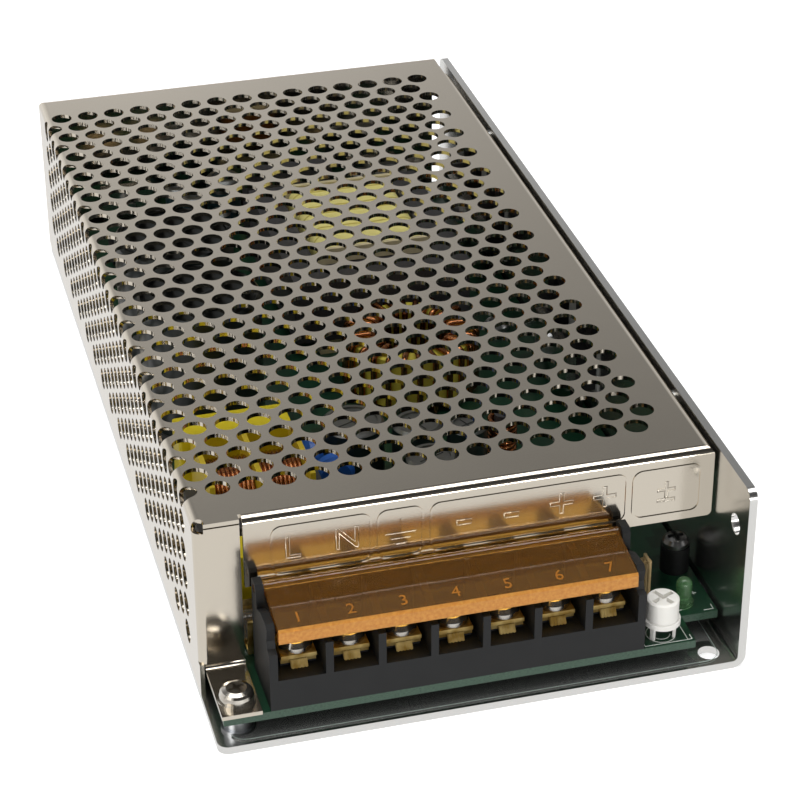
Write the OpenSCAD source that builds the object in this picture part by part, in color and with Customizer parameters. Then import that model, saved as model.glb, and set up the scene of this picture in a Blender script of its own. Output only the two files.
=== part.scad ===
// Mesh case switching power supply: a folded aluminium tray, a folded perforated
// cover with a stamped lip, a seven-way screw terminal block under a hinged
// flap, and the circuit board with its filter, transformers and rectifiers.
// Frame: origin at the centre of the footprint, on the floor; +X runs to the
// tray's solid side, +Y to the back, away from the terminals, +Z up.

/* [Case] */
// Overall width of the case
case_w = 98; // [98:1:104]
// Overall length of the case
case_l = 199; // [196:1:206]
// Overall height of the case
case_h = 38; // [38:1:44]
// Thickness of the aluminium tray
tray_t = 1.5; // [1.2:0.1:1.6]
// Outside radius of the tray's long fold
tray_fold_r = 2.5; // [2.2:0.1:3]
// Radius of the tray's corners
tray_corner_r = 2; // [1:0.5:3]
// Thickness of the cover sheet
cover_t = 0.8; // [0.6:0.1:0.8]
// Outside radius of the cover's folds
cover_fold_r = 1.6; // [1.4:0.1:2]
// How far the cover stops short of the tray's front edge
cover_setback = 15.7; // [15.5:0.1:17]
// Gap between the tray's wall and the cover's right-hand flange
cover_wall_gap = 0.5; // [0.4:0.1:1]
// Height of the lip over the terminals
lip_h = 14.4; // [12:0.2:14.6]
// Left side face to the edge of the lip
lip_left = 8.8; // [8.6:0.1:9.6]
// Slit between the lip and the corner panel
lip_slit = 0.6; // [0.4:0.1:1]
// Height of the flange along the right-hand edge
flange_h = 6; // [5:0.5:7]
// Bare length of the right-hand edge at the back
flange_back = 10; // [8:0.5:12]
// How far the bare edge is set in from the flange
flange_step = 1.2; // [1:0.1:1.4]
// Round relief at the front left top corner
corner_relief_d = 2.6; // [2:0.2:3]

/* [Perforation] */
// Diameter of a vent hole
vent_d = 4.5; // [3:0.1:4.6]
// Distance between neighbouring vent holes
vent_pitch = 6; // [6:0.1:6.2]
// Vent holes in each row across the top
vent_cols = 15; // [10:1:15]
// Rows of vent holes along the cover
vent_rows = 32; // [20:1:32]
// Vent holes in each column down the side
vent_side_rows = 5; // [3:1:5]
// Back edge of the cover to the first row of vent holes
vent_back = 11.3; // [10:0.1:12]
// Side face of the cover to the first vent hole of a full row
vent_left = 3.7; // [3.5:0.1:4]
// Extra sheet length taken up by the side fold
fold_allowance = 0.5; // [0.3:0.1:0.8]
// Diameter of the holes that fall on the side fold
vent_fold_d = 4; // [3:0.1:4.2]

/* [Stamped frames] */
// Height of the stamped line above the sheet
frame_rise = 0.2; // [0.1:0.1:0.4]
// Width of the stamped line
frame_line = 0.4; // [0.3:0.1:1]
// Corner radius of a frame
frame_r = 2; // [1:0.2:3]
// Height of the frames
frame_h = 10.3; // [8:0.1:11]
// Bottom edge of the lip to the frames
frame_up = 1.4; // [1:0.1:2]
// Left edge of the lip to the mains frame
frame_a = 4.8; // [4.2:0.1:6.2]
// Width of the mains frame
frame_a_w = 18.3; // [16:0.1:18.6]
// Left edge of the lip to the earth frame
frame_b = 24; // [23.8:0.1:25.2]
// Width of the earth frame
frame_b_w = 8.6; // [7:0.1:9]
// Left edge of the lip to the output frame
frame_c = 33.7; // [33.4:0.1:35.2]
// Width of the output frame
frame_c_w = 37; // [34:0.1:37.2]
// Right edge of the lip to the adjuster frame
frame_d = 2.3; // [2:0.1:3]
// Width of the adjuster frame
frame_d_w = 13.3; // [11:0.1:13.6]

/* [Case holes and screws] */
// Diameter of the mounting holes
mount_d = 4; // [3:0.1:4.5]
// Spacing of the base mounting holes across the case
mount_x = 50; // [40:1:60]
// Spacing of the base mounting holes along the case
mount_y = 150; // [120:1:150]
// How far the base mounting pattern sits behind the middle
mount_back = 8; // [0:1:10]
// Front and right edges of the tray to the corner hole
corner_hole_in = 5.7; // [5:0.1:6]
// Further front set-in of the corner hole, less than the side one
corner_hole_front = 3.7; // [3.5:0.1:5]
// Front edge of the tray to the front side hole
side_hole_in = 5.5; // [5:0.1:7]
// Height of the side holes
side_hole_z = 28; // [26:0.5:30]
// Diameter of the countersunk heads of the cover screws
cover_head_d = 5.6; // [5:0.1:6]
// Thread diameter of the cover screws
cover_screw_d = 3; // [2.5:0.5:3]
// Length of the cover screws
cover_screw_l = 6; // [5:0.5:6]
// Height of the rear cover screws
rear_screw_z = 10; // [9:0.5:12]
// Distance of each rear tab from the middle
rear_tab_x = 30; // [24:1:34]
// Width of a rear tab
rear_tab_w = 12; // [10:1:14]
// Height of a rear tab
rear_tab_h = 14; // [13:0.5:16]
// Depth of the side cover screws below the top
side_screw_down = 3.4; // [3:0.1:3.6]
// Distance of each side cover screw from the middle
side_screw_y = 60; // [50:1:70]

/* [Circuit board] */
// Thickness of the board
board_t = 1.6; // [1.2:0.1:1.6]
// Height of the standoffs
standoff_h = 3.5; // [3:0.1:4]
// Diameter of a standoff
standoff_d = 5; // [4.5:0.1:5.5]
// Diameter of a standoff's foot
standoff_foot_d = 6; // [5.6:0.1:6.4]
// Thread diameter of the board screws
board_screw_d = 3; // [2.5:0.1:3]
// Gap between the board and the case on the left
board_gap_left = 0.5; // [0.4:0.1:0.8]
// Gap between the board and the tray's wall
board_gap_right = 0.6; // [0.5:0.1:1]
// Set-in of the board from the tray's front edge
board_front_in = 1.5; // [1:0.1:2]
// Set-in of the board from the case's back face
board_back_in = 3.5; // [3:0.1:5]
// Middle of the adjuster to the notch in the board's front right corner
notch_gap = 5.5; // [4.5:0.1:5.7]
// Depth of that notch
notch_l = 7.7; // [7:0.1:9]
// Thickness of the insulation sheet under the board
film_t = 0.3; // [0.2:0.05:0.4]
// Height of the bush under the raised board screw
bush_h = 5.5; // [4:0.5:6]
// Diameter of that bush
bush_d = 5.5; // [5:0.1:6]
// Head diameter of the board screws
pan_d = 5.6; // [5:0.1:6]
// Head height of the board screws
pan_h = 1.9; // [1.6:0.1:2.2]

/* [Cover foot] */
// Width of the foot that clamps the cover to the board
foot_w = 7.2; // [6:0.1:7.2]
// Foot reach ahead of the corner panel
foot_l = 14.6; // [13:0.1:14.8]
// Head diameter of the foot screw
foot_head_d = 6.2; // [5.6:0.1:6.6]
// Head height of the foot screw
foot_head_h = 2.2; // [1.8:0.1:2.4]
// Diameter of the washer under its head
foot_washer_d = 6.8; // [6.4:0.1:7]

/* [Terminal block] */
// Number of terminals
ways = 7; // [7:1:7]
// Distance between neighbouring terminals
way_pitch = 9.5; // [9.5:0.1:10]
// Gap between the corner panel and the terminal block
block_side_gap = 1.55; // [1.3:0.05:2.3]
// Depth of the block, front to back
block_l = 13.4; // [13:0.1:13.4]
// Clear space between the block and the cover's lip
block_lip_gap = 0.8; // [0.7:0.1:1]
// Thickness of the block's end walls
end_wall = 1.5; // [1.2:0.05:1.6]
// Side face of the block to the first terminal's pitch space
end_margin = 1.25; // [1.1:0.05:1.3]
// Thickness of the walls between terminals
divider_t = 1.4; // [1.2:0.1:1.6]
// Thickness of the block's rear wall
rear_wall = 1.2; // [1:0.1:1.3]
// Height of the terminal floor above the board
floor_h = 6.3; // [6:0.1:6.6]
// Height of the rear wall and dividers above the board
wall_h = 16.6; // [16:0.1:16.8]
// Height of the end walls above the board
end_h = 19.9; // [19.7:0.1:20.6]
// Height of the step that carries each terminal plate
plate_step = 0.6; // [0.4:0.1:0.8]
// Height of the dividers' front ends above the board, under the flap's lip
divider_front_h = 12.9; // [12:0.1:12.9]
// Depth of the dividers' low front ends
divider_front_l = 1.6; // [1.5:0.1:2]

/* [Terminal screws] */
// Thread diameter of a terminal screw
term_screw_d = 3.5; // [3:0.1:3.5]
// Head diameter of a terminal screw
term_head_d = 6.2; // [5.8:0.1:6.4]
// Head height of a terminal screw
term_head_h = 2.1; // [1.8:0.1:2.4]
// Length of a terminal screw's thread below its head
term_screw_l = 7.4; // [7:0.1:7.4]
// Side of the square clamping washer
clamp_w = 6.4; // [6.2:0.1:6.8]
// Thickness of the clamping washer
clamp_t = 0.8; // [0.8:0.1:1]
// Gap left between the washer and the plate when screwed home
clamp_rest = 0.3; // [0.3:0.05:0.4]
// Width of a terminal plate
plate_w = 6.4; // [6.2:0.1:7]
// Thickness of a terminal plate
plate_t = 0.8; // [0.6:0.1:0.8]
// Width of the serrated tongue of a terminal plate
tongue_w = 3; // [2.6:0.1:3.2]
// How far the tongue reaches ahead of its plate
tongue_reach = 1.2; // [1:0.1:1.6]
// Front of the block to the terminal plates
plate_in = 4; // [3.6:0.1:4.2]
// Front of the block to the middle of a terminal screw
term_y_in = 6.6; // [6.4:0.1:6.8]

/* [Flap] */
// Gap between the flap and each end wall
flap_side_gap = 0.3; // [0.3:0.05:0.5]
// Thickness of the flap
flap_t = 1.3; // [1:0.1:1.4]
// Slope of the flap when closed, in degrees
flap_slope = 10; // [8:0.2:11.6]
// Radius of the ridge along the hinge
flap_ridge_r = 0.95; // [0.85:0.05:1.4]
// Distance of the hinge line ahead of the block's back
hinge_in = 1.8; // [1.7:0.1:2]
// Height of the hinge line above the board
hinge_h = 18.3; // [18.2:0.1:18.5]
// Diameter of the hinge pins
flap_pin_d = 1.6; // [1.4:0.1:1.8]
// Radial clearance of the hinge pins
flap_pin_gap = 0.05; // [0.03:0.01:0.08]
// Height of the flap's front lip
flap_lip_h = 3; // [2:0.1:3.2]

/* [Adjuster and lamp] */
// Side of the terminal block to the middle of the adjuster
trimmer_gap = 4.45; // [4.2:0.05:5.2]
// Distance of the adjuster behind the board's front edge
trimmer_in = 3.4; // [3.4:0.1:4]
// Diameter of the adjuster's base
trimmer_base_d = 6.8; // [6.4:0.1:7]
// Thickness of the adjuster's base
trimmer_base_t = 1; // [0.8:0.1:1.2]
// Length of the adjuster's legs
trimmer_leg_h = 3; // [2:0.1:3.4]
// Diameter of the adjuster's knob
knob_d = 6; // [5:0.1:6.4]
// Height of the adjuster's knob
knob_h = 4.3; // [3:0.1:4.6]
// Width of the cross slot in the knob
knob_slot = 0.9; // [0.6:0.1:1.2]
// Diameter of the adjuster's shaft
shaft_d = 2; // [1.6:0.1:2.4]
// Radial clearance of the knob on its shaft
shaft_gap = 0.05; // [0.03:0.01:0.08]
// Diameter of the pilot lamp
lamp_d = 3; // [3:0.1:3.4]
// Height of the pilot lamp
lamp_h = 6; // [5:0.1:7]
// Right edge of the board to the middle of the lamp
lamp_in = 5.5; // [4.9:0.1:5.9]
// Distance of the lamp ahead of the cover
lamp_out = 3; // [3:0.1:3.4]

/* [Mains side] */
// Left edge of the board to the middle of the mains parts
mains_in = 16.7; // [15.7:0.1:17.2]
// Diameter of a bulk capacitor
bulk_d = 25; // [22:0.5:25]
// Gap between the bulk capacitors and the cover
bulk_top_gap = 0.6; // [0.5:0.1:5]
// Distance of the rear bulk capacitor behind the middle of the case
bulk_y = 28; // [27.5:0.5:29]
// Distance between the bulk capacitors
bulk_pitch = 27; // [26:0.5:28]
// Length of the large film capacitor
film_cap_l = 22; // [18:0.5:22]
// Thickness of the large film capacitor
film_cap_t = 7.5; // [6:0.5:7.5]
// Height of the large film capacitor
film_cap_h = 20.5; // [15:0.5:22]
// Distance of the large film capacitor behind the choke
film_cap_step = 14.2; // [14:0.1:15]
// Length of the small film capacitor
small_film_l = 18; // [13:0.5:18]
// Thickness of the small film capacitor
small_film_t = 7; // [5:0.5:7]
// Height of the small film capacitor
small_film_h = 14; // [10:0.5:15]
// How far each film capacitor stands beside the middle of the mains parts
film_side = 1; // [0:0.1:1.4]
// Distance of the small film capacitor behind the fuse
small_film_step = 10.6; // [10.2:0.1:11.6]
// Distance of the choke behind the small film capacitor
choke_step = 19; // [18.6:0.1:19]
// Height of the choke
choke_h = 21.4; // [19:0.1:22]
// Length of the choke between its outer flanges
choke_l = 20; // [18:0.5:20]
// Side of the choke's square flanges
choke_flange = 19; // [16:0.5:19]
// Diameter of the choke's windings
choke_coil_d = 16.6; // [14:0.1:17]
// Side of the choke's core leg
choke_leg = 5; // [4:0.1:5]
// Diameter of the fuse
fuse_d = 5; // [5:0.1:5.2]
// Length of the fuse
fuse_l = 20; // [20:0.5:20]
// Distance of the fuse behind the cover's front
fuse_in = 6.2; // [5.8:0.1:6.8]
// Height of the fuse's axis above the board
fuse_z = 4.4; // [4:0.1:5]
// Diameter of the blue disc capacitors
disc_d = 8; // [6:0.5:8]
// Thickness of the disc capacitors
disc_t = 3.5; // [3:0.1:4]
// Height of the disc capacitors above the board
disc_up = 6.4; // [5:0.1:7]
// Middle of the mains parts to the rear disc capacitor
disc_side = 14.5; // [14:0.1:15]
// Distance between the two disc capacitors across the case
disc_step_x = 2.7; // [2.4:0.1:3]
// Distance between the two disc capacitors along the case
disc_step_y = 7.2; // [7:0.1:8]
// Distance of the rear disc capacitor ahead of the large film capacitor
disc_ahead = 0.5; // [0:0.1:1]
// Diameter of the inrush thermistor
ntc_d = 9; // [8:0.5:10]
// Height of the thermistor above the board
ntc_up = 3; // [2:0.1:4]
// Middle of the mains parts to the thermistor
ntc_side = 21.05; // [20:0.05:22]
// Distance of the thermistor behind the fuse
ntc_step = 5.6; // [5:0.1:7]
// Width of the bridge rectifier
bridge_w = 20; // [18:0.5:20]
// Thickness of the bridge rectifier
bridge_t = 3.5; // [3:0.1:3.5]
// Height of the bridge rectifier's body
bridge_h = 16; // [12:0.5:18]
// Length of the bridge rectifier's legs above the board
bridge_up = 2.5; // [2:0.1:4]
// Middle of the mains parts to the middle of the bridge rectifier
bridge_side = 24.05; // [24:0.05:25]
// Distance of the bridge rectifier behind the fuse
bridge_step = 16.2; // [16:0.1:17]
// Length of the control chip
chip_l = 20; // [18:0.5:20]
// Width of the control chip's body
chip_w = 6.4; // [6:0.1:6.6]
// Height of the control chip's body
chip_h = 3.4; // [3:0.1:3.6]
// Middle of the mains parts to the middle of the control chip
chip_side = 3; // [2:0.1:4]
// Diameter of a small resistor
res_d = 2.4; // [1.8:0.1:2.5]
// Length of a small resistor's body
res_l = 6.3; // [6:0.1:6.5]
// Distance between neighbouring small resistors
res_pitch = 4.2; // [3.6:0.1:4.4]
// Distance between the two columns of small resistors
res_column = 13; // [12.6:0.1:13.4]
// Distance of the left column's first resistor ahead of the driver transformer
res_first = 8.5; // [8.2:0.1:9]
// Distance of the middle column's first resistor ahead of the driver transformer
res_second = 12; // [11.6:0.1:12.4]

/* [Transformers] */
// Middle of the main transformer across the case
trafo_x = 12.5; // [12:0.1:13]
// Back edge of the board to the middle of the main transformer
trafo_in = 52.5; // [52:0.1:53]
// Width of the main transformer's core
trafo_w = 39; // [36:0.5:39]
// Length of the main transformer's core
trafo_l = 46; // [42:0.5:46]
// Thickness of the main transformer's core
trafo_core_t = 15; // [12:0.5:16]
// Width of a core leg
trafo_leg = 6.5; // [5:0.1:7]
// Width of the core's middle leg
trafo_mid = 12; // [10:0.5:13]
// Height of the core's middle above the board
trafo_z = 11; // [10.8:0.1:12]
// Height of the wound coil
coil_h = 21; // [18:0.5:21]
// Width of the wound coil
coil_w = 24; // [20:0.5:25]
// Middle of the driver transformer across the case
driver_x = 4; // [3:0.1:5]
// Distance of the driver transformer behind the main one
driver_step = 32; // [31.6:0.1:33]
// Width of the driver transformer
driver_w = 20; // [16:0.5:20]
// Height of the driver transformer's core
driver_h = 17; // [14:0.5:18]
// Thickness of the driver transformer's core
driver_core_t = 6; // [5:0.1:6.4]
// Width of the outer legs of that core
driver_leg = 3.5; // [3:0.1:3.6]
// Width of its middle leg
driver_mid = 5; // [4:0.1:5.2]
// Length of its bobbin along the case
driver_coil_l = 11; // [10.6:0.1:11.4]
// Thickness of the bobbin's base
driver_base_h = 1.8; // [1.2:0.1:2.4]

/* [Output side] */
// Middle of the output choke across the case
ring_x = 14; // [13.5:0.1:14.5]
// Distance of the output choke ahead of the main transformer
ring_step = 39.5; // [39.2:0.1:40.5]
// Outside diameter of the wound output choke
ring_d = 29; // [26:0.5:29]
// Hole left in the middle of the output choke
ring_hole_d = 14.6; // [12:0.1:15]
// Height of the wound output choke
ring_h = 14; // [12:0.5:15]
// Thickness of the copper wire
wire_d = 1.4; // [1:0.1:1.5]
// Turns on the output choke
ring_turns = 26; // [20:1:26]
// Height of the output capacitors
out_cap_h = 15.4; // [12:0.1:16]
// Diameter of the largest output capacitor
out_cap_d = 12.5; // [10:0.5:12.5]
// Diameter of the medium output capacitors
out_cap_mid_d = 10; // [8:0.5:10]
// Diameter of the smallest output capacitor
out_cap_small_d = 8; // [6:0.5:8]
// Middle of the mains parts to the largest output capacitor
out_cap_side = 23.5; // [23.2:0.1:24]
// Distance of the largest output capacitor behind the large film capacitor
out_cap_back = 2.3; // [2:0.1:3]
// Distance between neighbouring output capacitors across the case
out_cap_step = 12; // [11.8:0.1:12.4]
// Distance of the smallest output capacitor beside the second one
small_out_step = 9.3; // [9.2:0.1:9.6]
// How far the second and smallest output capacitors stand ahead of the largest
out_cap_stagger = 4; // [3.6:0.1:5]
// Distance of the front output capacitor ahead of the second one
out_cap_front = 12.7; // [11:0.1:13]
// Diameter of the rod choke's core
rod_core_d = 3.2; // [3:0.1:4]
// Thickness of the rod choke's winding
rod_coil_t = 1.3; // [1:0.1:1.3]
// Distance of the rod choke beside the smallest output capacitor
rod_step = 7.7; // [7.3:0.1:9]
// Diameter of a load resistor
load_d = 5; // [4:0.1:5]
// Length of a load resistor's body
load_l = 15; // [12:0.5:15]
// Distance between the load resistors
load_pitch = 8; // [7:0.1:8.6]
// Distance of the front load resistor behind the cover's front
load_in = 17.8; // [17:0.1:18.4]
// Middle of the mains parts to the middle of the load resistors
load_side = 51; // [49:0.5:52]
// Diameter of a small capacitor
small_cap_d = 5; // [4:0.1:5]
// Height of a small capacitor
small_cap_h = 11; // [7:0.5:12]
// Diameter of the two larger small capacitors
aux_cap_d = 8; // [6:0.1:8]
// Height of the chip's supply capacitor
aux_cap_h = 13.4; // [11:0.1:16]
// Distance of the chip's supply capacitor beside the driver transformer
aux_cap_side = 13; // [12.6:0.1:14]
// Distance of the chip's supply capacitor behind the driver transformer
aux_cap_back = 10.5; // [10:0.1:11]
// Distance between the small capacitors beside it
small_cap_step = 6; // [5.6:0.1:7]
// Distance of the output side's small capacitor beside the driver transformer
out_small_side = 20; // [19:0.1:20]
// Distance between the output side's two small capacitors
out_small_step = 7; // [6.8:0.1:8]
// Distance of the output side's small capacitors behind the driver transformer
out_small_back = 9; // [8:0.1:9.6]
// Width of a power device
device_w = 10; // [9.5:0.1:10.5]
// Length of a power device's body
device_h = 15.5; // [14:0.5:16]
// Thickness of a power device
device_t = 4.4; // [4:0.1:4.6]
// Underside of the devices above the board
device_up = 6.4; // [5:0.1:7]
// Distance between the two devices of a pair
device_pitch = 18; // [16:0.5:20]
// Distance of the transistor pair behind the main transformer's middle
transistor_step = 15.5; // [14:0.5:17]
// Distance of the rectifier pair ahead of the middle of the case
rectifier_in = 5; // [4:0.5:6]
// Thickness of the insulating pads
pad_t = 0.3; // [0.2:0.05:0.4]
// Thickness of the bars that hold the devices down
bar_t = 2; // [1.5:0.1:2.5]

/* [Hidden] */
$fn = 48;

nickel = [0.74, 0.73, 0.70];
aluminium = [0.80, 0.81, 0.82];
board_green = [0.05, 0.23, 0.15];
black_plastic = [0.08, 0.08, 0.09];
amber = [0.80, 0.45, 0.10, 0.6];
brass = [0.78, 0.62, 0.32];
white_plastic = [0.92, 0.92, 0.90];
lamp_green = [0.35, 0.70, 0.35];
copper = [0.72, 0.38, 0.18];
ferrite = [0.16, 0.16, 0.17];
tape_yellow = [0.80, 0.68, 0.22];
sleeve_dark = [0.10, 0.13, 0.12];
disc_blue = [0.12, 0.35, 0.75];
zinc = [0.78, 0.79, 0.80];
cream = [0.85, 0.80, 0.66];

cut = 1;          // how far cutting tools run past a face
seam = 0.3;       // gap left where two bent edges of one sheet meet
x_left = -case_w / 2;
x_right = case_w / 2;
y_front = -case_l / 2;
y_back = case_l / 2;
wall_in = x_right - tray_t;
cover_front = y_front + cover_setback;
cover_right = wall_in - cover_wall_gap;
lip_x = x_left + lip_left;
lip_z = case_h - lip_h;
panel_x = lip_x - lip_slit;
row_step = vent_pitch * sqrt(3) / 2;

board_z = tray_t + standoff_h;
board_top = board_z + board_t;
board_left = x_left + cover_t + board_gap_left;
board_right = wall_in - board_gap_right;
board_front = y_front + board_front_in;
board_back = y_back - board_back_in;
foot_screw_y = board_front + 4;
foot_screw_x = board_left + 3.2;
bush_x = board_right - 3;
bush_y = cover_front + 8.6;
board_hole_d = board_screw_d + 0.4;
board_screw_bore = board_screw_d + 0.1;
board_screw_end = tray_t + 0.5;
standoff_rivet_d = standoff_d - 0.8;
standoff_ring_h = 0.6;

block_w = ways * way_pitch + 2 * end_margin;
block_left = panel_x + block_side_gap;
block_right = block_left + block_w;
block_back = cover_front - block_lip_gap;
block_front = block_back - block_l;
way_first = block_left + end_margin + way_pitch / 2;
floor_z = board_top + floor_h;
wall_z = board_top + wall_h;
end_z = board_top + end_h;
term_y = block_front + term_y_in;
plate_z = floor_z + plate_step;
plate_top = plate_z + plate_t;
plate_front = block_front + plate_in;
clamp_z = plate_top + clamp_rest;
head_z = clamp_z + clamp_t;
hinge_y = block_back - hinge_in;
hinge_z = board_top + hinge_h;
flap_left = block_left + end_wall + flap_side_gap;
flap_right = block_right - end_wall - flap_side_gap;
flap_top = hinge_z + 0.5;       // top face of the flap above the hinge line
flap_drop = tan(flap_slope) * (hinge_y - block_front);
trimmer_x = block_right + trimmer_gap;
trimmer_y = board_front + trimmer_in;
trimmer_z = board_top + trimmer_leg_h;
knob_z = trimmer_z + trimmer_base_t;
bar_up = device_up + 4.6;       // height of the clamping bars' middle above the board
lamp_x = board_right - lamp_in;

mains_x = board_left + mains_in;
fuse_y = cover_front + fuse_in;
small_film_y = fuse_y + small_film_step;
choke_y = small_film_y + choke_step;
film_cap_y = choke_y + film_cap_step;
bulk_h = case_h - cover_t - bulk_top_gap - board_top;
trafo_y = board_back - trafo_in;
driver_y = trafo_y + driver_step;
ring_y = trafo_y - ring_step;
transistor_y = trafo_y + transistor_step;
rectifier_y = -rectifier_in;
chip_x = mains_x + chip_side;
res_x = mains_x + film_side;
out_cap_x = mains_x + out_cap_side;
out_cap_y = film_cap_y + out_cap_back;
out_small_x = out_cap_x + out_cap_step + small_out_step;
rod_x = out_small_x + rod_step;

// ---- helpers -----------------------------------------------------------

// Rounded rectangle centred on the origin
module rounded_square(w, h, r) {
  square([w, h - 2 * r], center = true);
  square([w - 2 * r, h], center = true);
  for (sx = [-1, 1])
    for (sy = [-1, 1])
      translate([sx * (w / 2 - r), sy * (h / 2 - r)]) circle(r);
}

// Upright plate of a YZ outline: outline X runs along the case, outline Y up
module across(x, w) {
  translate([x, 0, 0]) rotate([90, 0, 90]) linear_extrude(w) children();
}

// Upright plate of an XZ outline, y its front face, l its depth to the back
module along(y, l) {
  translate([0, y + l, 0]) rotate([90, 0, 0]) linear_extrude(l) children();
}

// Tool that takes the square corner off a sheet, for a plate lying in XY
module corner_tool(r, h) {
  linear_extrude(h) difference() {
    translate([0, 0]) square(r + cut);
    circle(r);
  }
}

// Quarter of a folded sheet: outer radius r, thickness t, centre on the origin
module fold_quarter(r, t) {
  intersection() {
    difference() {
      circle(r);
      circle(r - t);
    }
    square(r);
  }
}

// Pan head with a slightly domed top and a cross recess
module pan_head(d, h, slot_w, slot_l) {
  difference() {
    rotate_extrude() polygon([[0, 0], [d / 2, 0], [d / 2, h * 0.45], [d / 2 - h * 0.3, h * 0.85],
                              [d / 4, h], [0, h]]);
    for (a = [0, 90])
      rotate(a) translate([-slot_l / 2, -slot_w / 2, h * 0.45]) cube([slot_l, slot_w, h]);
  }
}

// Countersunk screw, its head flush at z = 0, pointing down
module flat_screw(d, head_d, l) {
  sink = (head_d - d) / 2;
  difference() {
    union() {
      translate([0, 0, -sink]) cylinder(d1 = d, d2 = head_d, h = sink);
      translate([0, 0, -l]) cylinder(d = d, h = l - sink);
    }
    for (a = [0, 90])
      rotate(a) translate([-head_d * 0.3, -0.35, -0.8]) cube([head_d * 0.6, 0.7, 0.8 + cut]);
  }
}

// Hole and countersink for that screw
module flat_screw_hole(d, head_d, l) {
  gap = 0.1;
  sink = (head_d - d) / 2;
  translate([0, 0, -sink]) cylinder(d1 = d + gap, d2 = head_d + gap, h = sink);
  translate([0, 0, -l]) cylinder(d = d + gap, h = l);
  cylinder(d = head_d + gap, h = cut);
}

// Radial electrolytic capacitor standing on z = 0
module can(d, h) {
  r = d / 2;
  rotate_extrude() polygon([[0, 0], [r - 0.6, 0], [r, 0.6], [r, 1.6], [r - 0.5, 2.2], [r, 2.8],
                            [r, h - 0.6], [r - 0.6, h], [r - 1.3, h], [r - 1.4, h - 0.4], [0, h - 0.4]]);
}

// Disc component standing on two leads, its flat faces across X
module disc_part(d, t, up) {
  translate([-t / 2, 0, up + d / 2]) rotate([0, 90, 0]) rotate_extrude()
    polygon([[0, 0], [d / 2 - 1, 0], [d / 2, 1], [d / 2, t - 1], [d / 2 - 1, t], [0, t]]);
  for (s = [-1, 1])
    translate([0, s * d * 0.28, 0]) cylinder(d = 0.8, h = up + d * 0.3);
}

// ---- case ----------------------------------------------------------------

module tray_section() {
  square_x = case_w - tray_fold_r;
  translate([x_left, 0]) square([square_x, tray_t]);
  translate([x_right - tray_fold_r, tray_fold_r]) rotate(-90) fold_quarter(tray_fold_r, tray_t);
  translate([wall_in, tray_fold_r]) square([tray_t, case_h - tray_fold_r]);
}

module rear_tab() {
  // lanced from the base's back edge, folded up inside the cover's rear wall
  r = tray_t + 0.5;
  tab_back = y_back - cover_t;
  translate([-rear_tab_w / 2, 0, 0]) across(0, rear_tab_w) {
    translate([tab_back - r, r]) rotate(-90) fold_quarter(r, tray_t);
    translate([tab_back - tray_t, r]) square([tray_t, rear_tab_h - r]);
  }
}

module base_mounts() {
  for (sx = [-1, 1])
    for (sy = [-1, 1])
      translate([sx * mount_x / 2, mount_back + sy * mount_y / 2, -cut]) children();
}

module tray() {
  tab_l = cover_t + tray_t + 0.5;
  color(aluminium) difference() {
    union() {
      difference() {
        along(y_front, case_l) tray_section();
        // base cut back for the two lanced tabs
        for (s = [-1, 1])
          translate([s * rear_tab_x - rear_tab_w / 2 - 1, y_back - tab_l, -cut])
            cube([rear_tab_w + 2, tab_l + cut, tray_t + 2 * cut]);
      }
      for (s = [-1, 1])
        translate([s * rear_tab_x, 0, 0]) rear_tab();
    }
    // rounded corners of the base and of the wall
    for (s = [-1, 1])
      translate([x_left + tray_corner_r, s * (case_l / 2 - tray_corner_r), -cut])
        rotate(s > 0 ? 90 : 180) corner_tool(tray_corner_r, tray_t + 2 * cut);
    for (s = [-1, 1])
      across(wall_in - cut, tray_t + 2 * cut)
        translate([s * (case_l / 2 - tray_corner_r), case_h - tray_corner_r]) rotate(s > 0 ? 0 : 90)
          difference() {
            square(tray_corner_r + cut);
            circle(tray_corner_r);
          }
    // mounting holes
    base_mounts() cylinder(d = mount_d, h = tray_t + 2 * cut);
    translate([x_right - corner_hole_in, y_front + corner_hole_front, -cut])
      cylinder(d = mount_d, h = tray_t + 2 * cut);
    for (s = [-1, 1])
      translate([wall_in - cut, s * (case_l / 2 - side_hole_in), side_hole_z])
        rotate([0, 90, 0]) cylinder(d = mount_d, h = tray_t + 2 * cut);
    // standoffs are riveted through the base
    board_fixings() translate([0, 0, -cut]) cylinder(d = standoff_rivet_d + 0.2, h = tray_t + 2 * cut);
    // screws for the cover
    cover_screw_places() flat_screw_hole(cover_screw_d, cover_head_d, cover_screw_l);
    // screws for the clamping bars
    bar_places() bar_screw_hole();
  }
}

// Outline of the cover's folded top seen along one axis
module cover_outline(from, to, top, bottom, r) {
  translate([from, bottom]) square([to - from, top - bottom - r]);
  translate([from + r, top - r - cut]) square([to - from - 2 * r, r + cut]);
  translate([from + r, top - r]) circle(r);
  translate([to - r, top - r]) circle(r);
}

// Solid inside the cover's outer faces, or its inner faces when inset
module cover_block(inset) {
  r = cover_fold_r - inset;
  bottom = tray_t - (inset > 0 ? cut : 0);
  intersection() {
    along(cover_front - cut, y_back - cover_front + 2 * cut)
      cover_outline(x_left + inset, cover_right - inset, case_h - inset, bottom, r);
    across(x_left - cut, case_w + 2 * cut)
      cover_outline(cover_front + inset, y_back - inset, case_h - inset, bottom, r);
  }
}

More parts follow.
